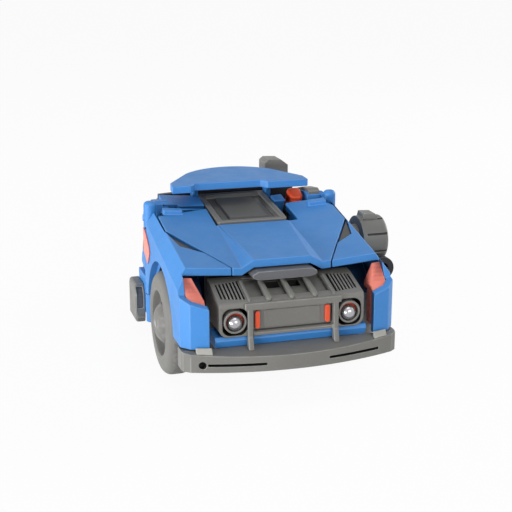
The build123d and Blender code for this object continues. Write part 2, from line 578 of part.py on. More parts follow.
def rail_strips():
    """Grey strip laid on the right-hand cabin rail."""
    side = [(CABIN_FRONT_Y + 0.2, RAIL_TOP_Z - 2), (CABIN_FRONT_Y + 0.2, RAIL_TOP_Z + 0.3), (CABIN_FRONT_Y + 1.4, RAIL_TOP_Z + 1.1),
            (0.5, RAIL_TOP_Z + 0.6), (CABIN_BACK_Y - 2.0, RAIL_BACK_Z + 1.8), (CABIN_BACK_Y - 1.0, RAIL_BACK_Z)]
    strip = extrude_x(side, RAIL_INNER_X + 0.6, RAIL_OUTER_X + 0.4)
    strip &= extrude_z([(RAIL_INNER_X + 0.6, CABIN_FRONT_Y), (RAIL_OUTER_X + 0.4, CABIN_FRONT_Y),
                        (RAIL_OUTER_X - 2.2, CABIN_BACK_Y), (RAIL_INNER_X + 0.6, CABIN_BACK_Y)], 30, 40)
    return (strip - cabin_rail(False)).solids().sort_by(SortBy.VOLUME)[-1]


def bonnet_pins():
    return pair(rod("x", (BONNET_KNUCKLE_IN_X + 0.2, BONNET_PIN_Y, BONNET_PIN_Z), TOWER_OUT_X, BONNET_PIN_R))


def roof_pin():
    return rod("x", (-EAR_OUT_X, ROOF_PIN_Y, ROOF_PIN_Z), EAR_OUT_X, ROOF_PIN_R)


# ---- bonnet and windscreen ------------------------------------------------------------------------
BONNET_KNUCKLE_IN_X = 15.0
SCREEN_PIN_Y = SCREEN_BACK_Y - 1.3
SCREEN_PIN_Z = SCREEN_BACK_Z - 1.6
SCREEN_BARREL_R = 1.3
SCREEN_ARM_IN_X = SCREEN_HALF_W + GAP
SCREEN_ARM_OUT_X = SCREEN_ARM_IN_X + 1.6


def split_line(shift):
    """Corners of the line between bonnet and fender, moved outwards by a shift."""
    return [(x + shift, y) for x, y in ((SPLIT_X, NOSE_Y), VENT_FRONT, VENT_BACK)]


def bonnet_plateau(y_back):
    """Right half of the raised middle of the bonnet."""
    wide = 8.0
    back_wide = SCREEN_HALF_W
    slab = extrude_z([(0, NOSE_Y), (wide + 4.2, NOSE_Y), (back_wide + 3, y_back), (0, y_back)], 15, 45)
    back_z = PLATEAU_Z + PLATEAU_RISE * (y_back - NOSE_Y)
    slab = facet(slab, (0, NOSE_Y, PLATEAU_Z), (1, NOSE_Y, PLATEAU_Z), (0, y_back, back_z))
    return facet(slab, (wide, NOSE_Y, PLATEAU_Z), (back_wide, y_back, back_z), (wide + 4.0, NOSE_Y, LIP_Z - 0.5))


def bonnet():
    """Bonnet skin with its arched front lip, the bay cut round the windscreen and the hinge knuckles."""
    bay_y = SCREEN_FRONT_Y - 2 * GAP
    plan = [(0, NOSE_Y)] + split_line(-SPLIT_GAP)
    plan += [(VENT_BACK[0] - SPLIT_GAP, -15.5), (23.6, BONNET_BACK_Y), (0, BONNET_BACK_Y)]
    skin = thin(both_sides(skin_cut(extrude_z(plan, 15, 45)) + bonnet_plateau(bay_y)), SKIN)
    rib = skin_cut(block(0, BAY_RIGHT_X + 1.3, bay_y - 1.3, BONNET_PIN_Y - 3, 28.4, 45), 0.6)
    bay = block(-BAY_LEFT_X, BAY_RIGHT_X, bay_y, 0, 15, 50)
    knuckle = rod("x", (BONNET_KNUCKLE_IN_X, BONNET_PIN_Y, BONNET_PIN_Z), TOWER_IN_X - GAP, BONNET_KNUCKLE_R)
    hanger = extrude_x([(BONNET_PIN_Y - 1.8, BONNET_PIN_Z), (BONNET_PIN_Y - 3.0, BONNET_PIN_Z + 3.2),
                        (BONNET_BACK_Y, BONNET_PIN_Z + 3.2), (BONNET_PIN_Y + 1.2, BONNET_PIN_Z)],
                       BONNET_KNUCKLE_IN_X, TOWER_IN_X - GAP)
    hinge = knuckle + hanger - rod("x", (BONNET_KNUCKLE_IN_X, BONNET_PIN_Y, BONNET_PIN_Z), TOWER_IN_X, BONNET_PIN_R + FIT)
    tab = skin_cut(block(TAB_IN_X, 25.2, -14.4, -12.2, 32, 40), -1.3)
    return (skin + both_sides(rib) - bay) + both_sides(hinge + tab)


def windscreen_pin():
    return rod("x", (-SCREEN_ARM_OUT_X, SCREEN_PIN_Y, SCREEN_PIN_Z), SCREEN_ARM_OUT_X, SCREEN_PIN_R)


def screen_plane():
    """Plane of the windscreen's outer face: x across, y up the slope, z outwards."""
    slope = Vector(0, SCREEN_BACK_Y - SCREEN_FRONT_Y, SCREEN_BACK_Z - SCREEN_FRONT_Z)
    middle = (0, (SCREEN_FRONT_Y + SCREEN_BACK_Y) / 2, (SCREEN_FRONT_Z + SCREEN_BACK_Z) / 2)
    return Plane(origin=middle, x_dir=(1, 0, 0), z_dir=Vector(1, 0, 0).cross(slope).normalized())


def screen_length():
    return Vector(0, SCREEN_BACK_Y - SCREEN_FRONT_Y, SCREEN_BACK_Z - SCREEN_FRONT_Z).length


def windscreen_frame():
    """Frame with a barrel along its rear edge, bored for the hinge pin."""
    rim = 1.7
    frame = extrude(screen_plane() * RectangleRounded(2 * SCREEN_HALF_W, screen_length(), 0.8), amount=-SCREEN_T)
    frame -= extrude(screen_plane() * Rectangle(2 * (SCREEN_HALF_W - rim), screen_length() - 2 * rim), amount=-0.9)
    frame -= extrude(screen_plane() * Rectangle(2 * (SCREEN_HALF_W - rim - 0.8), screen_length() - 2 * rim - 1.6),
                     amount=-2 * SCREEN_T)
    frame += rod("x", (-SCREEN_HALF_W, SCREEN_PIN_Y, SCREEN_PIN_Z), SCREEN_HALF_W, SCREEN_BARREL_R)
    return frame - rod("x", (-SCREEN_HALF_W, SCREEN_PIN_Y, SCREEN_PIN_Z), SCREEN_HALF_W, SCREEN_PIN_R + FIT)


def windscreen_panel():
    """Dark panel set in the frame, with a raised pane in its middle."""
    rim = 1.7
    width = 2 * (SCREEN_HALF_W - rim - 0.8)
    length = screen_length() - 2 * rim - 1.6
    back = extrude(screen_plane().offset(-1.0) * Rectangle(width, length), amount=-(SCREEN_T - 1.0))
    pane = extrude(screen_plane().offset(-1.0) * Rectangle(width - 4.0, length - 2.6), amount=0.7, taper=20)
    barrel = rod("x", (-SCREEN_HALF_W, SCREEN_PIN_Y, SCREEN_PIN_Z), SCREEN_HALF_W, SCREEN_BARREL_R)
    return back + pane - barrel


# ---- roof -----------------------------------------------------------------------------------------
def roof_panel():
    """Crescent roof plate with a notched front, a hinge lug at its rear and two arms for the windscreen's pin."""
    wing, far_wing = (ROOF_HALF_W - 0.3, -4.4, 30), (-ROOF_HALF_W + 0.3, -4.4, 30)
    turn, far_turn = (14.0, ROOF_BACK_Y - 6.0, 30), (-14.0, ROOF_BACK_Y - 6.0, 30)
    edges = [
        Polyline(far_wing, (-ROOF_HALF_W, ROOF_TIP_Y, 30), (ROOF_NOTCH_LEFT_X, ROOF_TIP_Y, 30),
                 (ROOF_NOTCH_LEFT_X + 1.6, ROOF_FRONT_Y, 30), (ROOF_NOTCH_RIGHT_X - 1.6, ROOF_FRONT_Y, 30),
                 (ROOF_NOTCH_RIGHT_X, ROOF_TIP_Y, 30), (ROOF_HALF_W, ROOF_TIP_Y, 30), wing, turn),
        ThreePointArc(turn, (0, ROOF_BACK_Y, 30), far_turn),
        Line(far_turn, far_wing),
    ]
    slab = extrude(make_face(edges), amount=20, dir=(0, 0, 1))
    back_z = ROOF_Z + ROOF_RISE * (ROOF_BACK_Y - ROOF_FRONT_Y)
    slab = facet(slab, (0, ROOF_FRONT_Y, ROOF_Z), (1, ROOF_FRONT_Y, ROOF_Z), (0, ROOF_BACK_Y, back_z))
    plate = thin(slab, ROOF_T)
    lug_x = EAR_IN_X - GAP
    lug = extrude_x([(ROOF_PIN_Y - 1.5, ROOF_PIN_Z), (ROOF_PIN_Y - 1.5, back_z - 1), (ROOF_BACK_Y - 0.8, back_z - 1),
                     (ROOF_PIN_Y + 1.4, ROOF_PIN_Z)], -lug_x, lug_x)
    lug = skin_under_roof(lug, back_z)
    lug += rod("x", (-lug_x, ROOF_PIN_Y, ROOF_PIN_Z), lug_x, ROOF_PIN_R + 0.8)
    lug -= rod("x", (-lug_x, ROOF_PIN_Y, ROOF_PIN_Z), lug_x, ROOF_PIN_R + FIT)
    arm = extrude_x([(SCREEN_PIN_Y - 1.5, SCREEN_PIN_Z), (SCREEN_PIN_Y - 0.9, SCREEN_PIN_Z - 1.3),
                     (SCREEN_PIN_Y + 0.9, SCREEN_PIN_Z - 1.3), (SCREEN_PIN_Y + 1.5, SCREEN_PIN_Z),
                     (SCREEN_PIN_Y + 2.4, back_z), (SCREEN_PIN_Y - 2.4, back_z)], SCREEN_ARM_IN_X, SCREEN_ARM_OUT_X)
    arm -= rod("x", (SCREEN_ARM_IN_X, SCREEN_PIN_Y, SCREEN_PIN_Z), SCREEN_ARM_OUT_X, SCREEN_PIN_R)
    return plate + lug + both_sides(skin_under_roof(arm, back_z))


def skin_under_roof(shape, back_z):
    """Trims a piece to halfway through the roof plate."""
    drop = ROOF_T / 2
    return facet(shape, (0, ROOF_FRONT_Y, ROOF_Z - drop), (1, ROOF_FRONT_Y, ROOF_Z - drop), (0, ROOF_BACK_Y, back_z - drop))


# ---- front fenders (right-hand; the left is the mirror image) ----------------------------------------
CORNER_FOOT_Z = BUMPER_BACK_Z + GAP
CORNER_TOP_Z = 19.4
CORNER_IN_X = 22.9
PORT_Y = -22.0
PORT_Z = 26.4
PORT_BOSS_R = 4.0


def vent_outline():
    return [(x + SPLIT_GAP, y) for x, y in (VENT_FRONT, VENT_BACK)] + [VENT_OUT]


def side_marker_outline():
    return [(-8.8, 28.8), (-12.8, 27.4), (-14.2, 23.6), (-12.4, 21.2), (-8.8, 24.2)]


def corner_panel():
    """Nose corner that wraps from the front face to the side wall."""
    inner_wall = SIDE_X - WALL
    back_y = FRONT_AXLE_Y - ARCH_R - 0.4
    plan = [(CORNER_IN_X, -59.3), (27.8, -57.9), (SIDE_X, -55.2), (SIDE_X, back_y), (inner_wall, back_y),
            (inner_wall, -54.6), (26.8, -56.1), (CORNER_IN_X, -57.3)]
    panel = extrude_z(plan, CORNER_FOOT_Z, CORNER_TOP_Z + 4)
    return facet(panel, (CORNER_IN_X, -59.3, CORNER_TOP_Z + 0.2), (27.8, -57.9, CORNER_TOP_Z + 1.7),
                 (CORNER_IN_X, -57.3, CORNER_TOP_Z + 0.8))


def fender(with_port):
    """Outer bonnet corner, side wall, nose corner, wheel well and swinging eye in one moulding."""
    inner_wall = SIDE_X - WALL
    top_plan = split_line(SPLIT_GAP)[:2] + [VENT_OUT] + split_line(SPLIT_GAP)[2:]
    top_plan += [(inner_wall - 0.4, -11.4), (SIDE_X, -11.4), (SIDE_X, NOSE_Y - 0.4), (27.0, NOSE_Y)]
    body = thin(skin_cut(extrude_z(top_plan, 15, 45)), SKIN)
    wall_side = [(-55.2, CORNER_FOOT_Z), (-55.2, CORNER_TOP_Z + 0.8), (NOSE_Y - 0.4, 30), (-30, 40), (-11.4, 40),
                 (-11.4, POST_FOOT_Z - GAP), (POST_Y, POST_FOOT_Z - GAP), (POST_Y, FENDER_FOOT_Z), (-20, FENDER_FOOT_Z),
                 (-44, CORNER_FOOT_Z)]
    body += skin_cut(extrude_x(wall_side, inner_wall, SIDE_X))
    body += corner_panel()
    axle_spot = (FENDER_INNER_X, FRONT_AXLE_Y, AXLE_Z)
    well = rod("x", axle_spot, inner_wall + 0.4, WELL_SHELL_R)
    well -= rod("x", axle_spot, SIDE_X, WELL_R)
    well_half = 0.8 * WELL_SHELL_R
    body += well & block(FENDER_INNER_X, SIDE_X, FRONT_AXLE_Y - well_half, FRONT_AXLE_Y + well_half, AXLE_Z + 8, 30)
    bracket_half = 0.74 * WELL_SHELL_R
    bracket_z = AXLE_Z + 0.675 * WELL_SHELL_R
    bracket = [(FRONT_AXLE_Y - bracket_half, bracket_z), (FRONT_AXLE_Y - 5, AXLE_Z - 4),
               (FRONT_AXLE_Y + 5, AXLE_Z - 4), (FRONT_AXLE_Y + bracket_half, bracket_z),
               (FRONT_AXLE_Y, AXLE_Z + WELL_SHELL_R - WELL_WALL / 2)]
    body += extrude_x(bracket, FENDER_INNER_X, FENDER_INNER_X + HUB_WALL)
    body -= rod("x", axle_spot, FENDER_INNER_X + HUB_WALL + 1, AXLE_R)
    body -= rod("x", (inner_wall - 0.2, FRONT_AXLE_Y, AXLE_Z), SIDE_X + 1, ARCH_R)
    body = facet(body, (27.0, NOSE_Y, skin_z(27.0, NOSE_Y)), (27.4, -12, skin_z(27.4, -12)), (SIDE_X, NOSE_Y, 24.4))
    body += rod("z", (POST_X, POST_Y, FENDER_FOOT_Z), POST_FOOT_Z - GAP, POST_R)
    body -= rod("z", (POST_X, POST_Y, FENDER_FOOT_Z), POST_FOOT_Z, PEG_R + FIT)
    body -= rod("z", (POST_X, POST_Y, POST_FOOT_Z - GAP), 45, POST_R + GAP)
    body -= extrude_x(side_marker_outline(), SIDE_X - 0.6, SIDE_X + 1)
    if with_port:
        body += rod("x", (SIDE_X - 5, PORT_Y, PORT_Z), SIDE_X, PORT_BOSS_R) - rod("x", axle_spot, SIDE_X, WELL_R)
        body -= rod("x", (SIDE_X - 6, PORT_Y, PORT_Z), SIDE_X + 1, PORT_R)
    return body


def marker_lamps():
    """Coral insert of the nose corner, with its stem behind the corner panel, and the side marker."""
    x0, x1 = CORNER_IN_X + 0.5, SIDE_X - WALL
    foot_z, top_z, back_y = CORNER_TOP_Z + 0.2, 26.2, NOSE_Y - 0.9
    wedge = extrude_y([(x0, foot_z), (x1, foot_z), (x1, top_z), (x1 - 2.4, top_z - 0.2), (x0, foot_z + 1.4)], -58, back_y)
    wedge = facet(wedge, (0, -57.0, foot_z + 0.2), (1, -57.0, foot_z + 0.2), (0, back_y, top_z))
    stem = block(x0, x1 - 0.6, -55.4, -52.8, CORNER_FOOT_Z + 1.4, CORNER_TOP_Z + 0.4)
    marker = extrude_x(side_marker_outline(), SIDE_X - 0.6, SIDE_X + 0.2)
    return (wedge + stem) - corner_panel(), marker


def vent_insert():
    """Sunken dark floor of the triangular vent."""
    return thin(skin_cut(extrude_z(vent_outline(), 15, 45), VENT_SINK), SKIN - VENT_SINK)


def front_axle():
    return rod("x", (FENDER_INNER_X, FRONT_AXLE_Y, AXLE_Z), FRONT_WHEEL_IN_X + FRONT_WHEEL_W + 1.1, AXLE_R)


# ---- side blaster -----------------------------------------------------------------------------------
DRUM_R = 7.0
DRUM_IN_X = 32.0
DRUM_OUT_X = 40.2
DRUM_Z = 25.4
BARREL_X = 37.2
BARREL_Z = 18.2
BARREL_R = 3.5


def drum_solid():
    drum = rod("x", (DRUM_IN_X, PORT_Y, DRUM_Z), DRUM_OUT_X, DRUM_R)
    return fillet(drum.edges().group_by(Axis.X)[-1], 1.3)


def blaster_drum():
    """Drum magazine with lengthwise grooves, a stepped cap, a ramp on top and the 5 mm peg."""
    body = drum_solid()
    for i in range(8):
        body -= Pos(DRUM_IN_X + 4.6, PORT_Y, DRUM_Z) * Rot(22.5 + 45 * i, 0, 0) * Pos(0, 0, DRUM_R) * Box(6.6, 0.6, 0.9)
    cap = Plane((DRUM_OUT_X, PORT_Y, DRUM_Z), z_dir=(1, 0, 0))
    body -= extrude(cap * (Circle(4.6) - Circle(3.6)), amount=-0.7)
    ramp = extrude_y([(DRUM_IN_X + 0.6, DRUM_Z + 4), (DRUM_IN_X + 1.6, DRUM_Z + DRUM_R + 1.2),
                      (DRUM_IN_X + 5.2, DRUM_Z + DRUM_R + 1.0), (DRUM_IN_X + 6.8, DRUM_Z + 4)], PORT_Y - 2.6, PORT_Y + 2.6)
    body += ramp
    flange = rod("x", (SIDE_X + GAP, PORT_Y, PORT_Z), DRUM_IN_X, PORT_R + 1.0)
    return body + flange + rod("x", (SIDE_X - 4.6, PORT_Y, PORT_Z), SIDE_X + GAP, PORT_R - PEG_CLEAR)


def blaster_barrel():
    """Barrel slung under the drum, with a raised muzzle rim."""
    front_y, back_y = PORT_Y - 9.5, PORT_Y + 15.0
    body = rod("y", (BARREL_X, front_y, BARREL_Z), back_y, BARREL_R)
    body += block(BARREL_X - 2.4, BARREL_X + 2.4, PORT_Y - 4, PORT_Y + 9, BARREL_Z, BARREL_Z + 4.6)
    body -= rod("y", (BARREL_X, front_y - 1, BARREL_Z), front_y + 7, 0.5 * BARREL_R)
    body -= rod("y", (BARREL_X, front_y + 1.6, BARREL_Z), front_y + 2.4, BARREL_R + 1) - rod(
        "y", (BARREL_X, front_y, BARREL_Z), back_y, BARREL_R - 0.5)
    return body - drum_solid()


# ---- doors --------------------------------------------------------------------------------------------
def door():
    """Door with a swollen lower edge, a sunken window and a bored knuckle down its front edge."""
    z0 = SILL_Z + GAP
    x0 = RAIL_OUTER_X + GAP
    y1 = CABIN_BACK_Y - 0.4
    front_z = cantrail_z(DOOR_PIN_Y) - GAP
    section = [(x0, z0), (DOOR_X - 0.2, z0), (DOOR_X + 0.6, z0 + 1.8), (DOOR_X + 0.4, z0 + 4.6), (DOOR_X - 0.4, z0 + 6.6),
               (DOOR_X - 0.6, CANTRAIL_Z), (x0, CANTRAIL_Z)]
    body = extrude_y(section, DOOR_PIN_Y + 0.7, y1)
    body -= extrude_x([(0.0, 22), (1.0, cantrail_z(1.0) - 2.6), (y1 - 2.0, cantrail_z(y1 - 2.0) - 2.6), (y1 - 2.0, 22)],
                      DOOR_X - 1.1, DOOR_X + 1)
    body += rod("z", (DOOR_PIN_X, DOOR_PIN_Y, z0), front_z - 0.6, DOOR_KNUCKLE_R)
    body -= rod("z", (DOOR_PIN_X, DOOR_PIN_Y, z0), CANTRAIL_Z, DOOR_PIN_R + FIT)
    body = body.rotate(Axis((DOOR_PIN_X, DOOR_PIN_Y, 0), (0, 0, 1)), degrees(atan2(CABIN_TAPER, 1)))
    return facet(body, (0, DOOR_PIN_Y, front_z), (1, DOOR_PIN_Y, front_z), (0, y1, cantrail_z(y1) - GAP))


# ---- arms and head --------------------------------------------------------------------------------------
ARM_TILT = 29.0                 # forward lean of the forearm from upright
ARM_LENGTH = 9.4                # elbow pin to wrist face
HAND_LENGTH = 6.0
WRIST_R = 1.2


def arm_frame(elbow_z):
    """Frame on the elbow pin: z runs up the forearm, y points to the rear."""
    return Pos((ARM_IN_X + ARM_OUT_X) / 2, ELBOW_Y, elbow_z) * Rot(ARM_TILT, 0, 0)


def forearm(elbow_z):
    half_w = (ARM_OUT_X - ARM_IN_X) / 2
    outline = [(-1.5, -2.2), (1.5, -2.2), (2.3, -0.6), (2.6, ARM_LENGTH), (-2.6, ARM_LENGTH), (-2.3, -0.6)]
    body = extrude_x(outline, -half_w, half_w)
    body = chamfer(body.edges().filter_by(Axis.X).group_by(Axis.Z)[-1], 0.4)
    body -= block(-half_w + 1.4, half_w - 1.4, -3.2, -2.0, 1.5, ARM_LENGTH - 1.8)
    body -= rod("x", (-half_w - 1, 0, 0), 1.0, ELBOW_R + FIT)
    body -= rod("z", (0, 0, ARM_LENGTH - 4), ARM_LENGTH + 1, WRIST_R + FIT)
    return arm_frame(elbow_z) * body


def hand(elbow_z):
    """Closed fist on a wrist peg, drilled across for a 3 mm handle."""
    z0 = ARM_LENGTH + GAP
    fist = extrude(Plane.XY.offset(z0) * RectangleRounded(4.4, 5.0, 1.4), amount=HAND_LENGTH)
    fist = fillet(fist.edges().group_by(Axis.Z)[-1], 0.9)
    for i in range(3):
        fist -= Pos(0, -2.5, z0 + 1.5 * (i + 1)) * Box(6, 0.5, 0.35)
    fist -= rod("x", (-4, 0.3, z0 + 3.2), 4, 1.5)
    return arm_frame(elbow_z) * (fist + rod("z", (0, 0, ARM_LENGTH - 3.6), z0 + 0.5, WRIST_R))


HEAD_Z0 = 25.8
HEAD_Z1 = 32.5
HEAD_HALF_W = 4.7


def head_helmet():
    """Plain faceted helmet with a slot for the visor, on a neck with two pegs."""
    side = [(NECK_Y - 3.6, HEAD_Z0), (NECK_Y - 4.2, HEAD_Z0 + 2.4), (NECK_Y - 3.8, HEAD_Z1 - 2.4), (NECK_Y - 2.0, HEAD_Z1),
            (NECK_Y + 2.2, HEAD_Z1), (NECK_Y + 3.8, HEAD_Z1 - 2.6), (NECK_Y + 3.4, HEAD_Z0)]
    body = extrude_x(side, -HEAD_HALF_W, HEAD_HALF_W)
    front = [(-HEAD_HALF_W + 0.8, HEAD_Z0), (-HEAD_HALF_W, HEAD_Z0 + 2), (-HEAD_HALF_W, HEAD_Z1 - 2.6), (-HEAD_HALF_W + 2.0, HEAD_Z1)]
    body &= extrude_y(front + [(-x, z) for x, z in reversed(front)], NECK_Y - 6, NECK_Y + 6)
    body -= visor_block()
    neck = extrude_x([(NECK_Y - 1.5, NECK_Z - 1.4), (NECK_Y + 1.5, NECK_Z - 1.4), (NECK_Y + 1.7, HEAD_Z0 + 0.2),
                      (NECK_Y - 1.7, HEAD_Z0 + 0.2)], -3.6, 3.6)
    return body + neck + rod("x", (-6.0, NECK_Y, NECK_Z), 6.0, NECK_R)


def visor_block():
    z = (HEAD_Z0 + HEAD_Z1) / 2 + 0.4
    return block(-HEAD_HALF_W + 0.9, HEAD_HALF_W - 0.9, NECK_Y - 5, NECK_Y - 2.6, z - 0.9, z + 0.9)


def head_visor():
    """One wide plain visor strip."""
    y = NECK_Y - 4.35
    return visor_block() & block(-HEAD_HALF_W, HEAD_HALF_W, y, NECK_Y, HEAD_Z0, HEAD_Z1)


# ---- rear halves (right-hand) -------------------------------------------------------------------------------
FOOT_PIN_Y = LEG_BACK_Y + 1.8
FOOT_PIN_Z = 3.6
FOOT_PIN_R = 1.0
FOOT_EARS = [(4.0, 6.4), (15.2, 17.6)]
DECK_BREAK_Y = 20.0
DECK_BREAK_Z = 31.6
DECK_BACK_Z = 24.8
HAUNCH_X = 22.2                  # inner edge of the sloping shoulder, at the front
HAUNCH_BACK_X = 16.4
SHOULDER_DROP = 4.8
WINDOW_SINK = 0.9


def rear_plan(y0, y1):
    """Outline from above of the narrowing rear body, between two distances along the car."""
    x0 = CENTRE_GAP / 2
    return [(x0, y0), (REAR_HALF_W - REAR_TAPER * (y0 - LEG_FRONT_Y), y0),
            (REAR_HALF_W - REAR_TAPER * (y1 - LEG_FRONT_Y), y1), (x0, y1)]


def shoulder(shape):
    """Cuts the sloping shoulder down the outer edge of the rear deck."""
    return facet(shape, (HAUNCH_X, LEG_FRONT_Y, LEG_DECK_Z), (HAUNCH_BACK_X, LEG_BACK_Y, DECK_BACK_Z),
                 (REAR_HALF_W, LEG_FRONT_Y, LEG_DECK_Z - SHOULDER_DROP))


def rear_side():
    return [(LEG_FRONT_Y, 0.4), (LEG_FRONT_Y, LEG_DECK_Z), (DECK_BREAK_Y, DECK_BREAK_Z), (LEG_BACK_Y, DECK_BACK_Z),
            (LEG_BACK_Y, 2.0), (LEG_BACK_Y - 2.4, 0.4)]


def rear_window_slab():
    """Right half of the rear window's outline, up to the sloping deck."""
    y0, y1 = DECK_BREAK_Y + 2.2, DECK_BREAK_Y + 17.0
    slab = extrude_z([(1.6, y0), (15.0, y0), (12.6, y1), (1.6, y1)], 20, 50)
    return facet(slab, (0, DECK_BREAK_Y, DECK_BREAK_Z), (1, DECK_BREAK_Y, DECK_BREAK_Z), (0, LEG_BACK_Y, DECK_BACK_Z))


def leg():
    """Rear half of the body, which slides back on the chassis runner to become a leg."""
    body = extrude_x(rear_side(), 0, DOOR_X) & extrude_z(rear_plan(LEG_FRONT_Y, LEG_BACK_Y), 0, 50)
    body = shoulder(body)
    spot = (REAR_WHEEL_IN_X - GAP, REAR_AXLE_Y, AXLE_Z)
    body -= rod("x", spot, DOOR_X + 1, WELL_R)
    body -= block(REAR_WHEEL_IN_X - GAP, DOOR_X + 1, REAR_AXLE_Y - WELL_R, REAR_AXLE_Y + WELL_R, -1, AXLE_Z)
    body -= rod("x", (REAR_WHEEL_IN_X - 3.4, REAR_AXLE_Y, AXLE_Z), DOOR_X, AXLE_R)
    body -= block(RUNNER_IN_X - GAP, RUNNER_OUT_X + GAP, LEG_FRONT_Y - 1, RUNNER_BACK_Y + 1.0, RUNNER_Z0 - GAP, RUNNER_Z1 + GAP)
    body -= thin(rear_window_slab(), WINDOW_SINK)
    for ear_x0, ear_x1 in FOOT_EARS:
        ear = rod("x", (ear_x0, FOOT_PIN_Y, FOOT_PIN_Z), ear_x1, FOOT_PIN_R + 0.7)
        ear += block(ear_x0, ear_x1, LEG_BACK_Y - 0.5, FOOT_PIN_Y, FOOT_PIN_Z - 1.3, FOOT_PIN_Z + 1.3)
        body += ear
    pegs = rod("x", (FOOT_EARS[0][1], FOOT_PIN_Y, FOOT_PIN_Z), FOOT_EARS[0][1] + 2.4, FOOT_PIN_R)
    pegs += rod("x", (FOOT_EARS[1][0] - 2.4, FOOT_PIN_Y, FOOT_PIN_Z), FOOT_EARS[1][0], FOOT_PIN_R)
    return body + pegs


def rear_window():
    """Dark half window, a little below the deck."""
    slab = rear_window_slab()
    return thin(slab, WINDOW_SINK) & Pos(0, 0, -0.3) * slab


def rear_axle():
    return rod("x", (REAR_WHEEL_IN_X - 3.4, REAR_AXLE_Y, AXLE_Z), REAR_WHEEL_IN_X + REAR_WHEEL_W + 1.0, AXLE_R)


def deck_block():
    """Grey lug plugged into the right-hand deck, behind the roof."""
    z0 = LEG_DECK_Z
    outline = [(14.4, z0 - 5), (14.4, z0 + 9.6), (15.6, z0 + 10.6), (19.8, z0 + 10.4), (22.2, z0 + 8.6), (22.2, z0 - 5)]
    body = extrude_y(outline, LEG_FRONT_Y + 1.6, DECK_BREAK_Y + 1.0)
    return body - leg()


# ---- feet (right-hand) ----------------------------------------------------------------------------------------
def foot():
    """Tail of the car: spoiler lip, lamp recess and valance; it swings down about its low front pin."""
    front_y = LEG_BACK_Y + GAP
    side = [(front_y, FOOT_PIN_Z + 2.2), (front_y, DECK_BACK_Z - 0.1), (TAIL_Y - 3.5, TAIL_Z + 1.2), (TAIL_Y, TAIL_Z + 2.0),
            (TAIL_Y, TAIL_Z + 0.4), (TAIL_Y - 1.8, TAIL_Z - 3.0), (TAIL_Y - 1.0, 12), (TAIL_Y, 9.0), (TAIL_Y - 0.4, 4.4),
            (TAIL_Y - 2.4, FOOT_PIN_Z - 1.7), (FOOT_PIN_Y, FOOT_PIN_Z - 1.7)]
    side_x = REAR_HALF_W - REAR_TAPER * (FOOT_PIN_Y - LEG_FRONT_Y)
    body = extrude_x(side, 0, DOOR_X) & extrude_z(rear_plan(front_y, TAIL_Y), 0, 50)
    body = facet(body, (HAUNCH_BACK_X, LEG_BACK_Y, DECK_BACK_Z), (HAUNCH_BACK_X - 0.6, TAIL_Y, TAIL_Z + 2),
                 (side_x, LEG_BACK_Y, DECK_BACK_Z - SHOULDER_DROP))
    body += rod("x", (CENTRE_GAP / 2, FOOT_PIN_Y, FOOT_PIN_Z), side_x - 0.2, FOOT_PIN_R + 0.7)
    for ear_x0, ear_x1 in FOOT_EARS:
        body -= rod("x", (ear_x0 - GAP, FOOT_PIN_Y, FOOT_PIN_Z), ear_x1 + GAP, FOOT_PIN_R + 1.2)
        body -= block(ear_x0 - GAP, ear_x1 + GAP, front_y - 1, FOOT_PIN_Y, -1, FOOT_PIN_Z + 2.4)
    bore = rod("x", (FOOT_EARS[0][1], FOOT_PIN_Y, FOOT_PIN_Z), FOOT_EARS[0][1] + 2.8, FOOT_PIN_R + FIT)
    bore += rod("x", (FOOT_EARS[1][0] - 2.8, FOOT_PIN_Y, FOOT_PIN_Z), FOOT_EARS[1][0], FOOT_PIN_R + FIT)
    body -= bore
    return body - tail_light_block(1.0)


def tail_light_block(depth):
    z0, z1 = TAIL_Z - 8.2, TAIL_Z - 3.6
    outline = [(7.2, z0 + 0.6), (16.4, z0), (16.4, z1), (8.2, z1 - 0.6)]
    face_y = TAIL_Y - 1.5
    return extrude_y(outline, face_y - depth, TAIL_Y + 2)


def tail_light():
    """Red lamp bar set in the tail."""
    return tail_light_block(1.0) & block(0, SIDE_X, 40, TAIL_Y - 1.2, 0, 40)


# ---- output -------------------------------------------------------------------------------------------------
def mirrored(shape):
    return mirror(shape, about=Plane.YZ)


def write(name, shape):
    export_step(shape, f"parts/{name}.step")


def write_sides(name, right, left=None):
    write(f"{name}_right", right)
    write(f"{name}_left", mirrored(right if left is None else left))


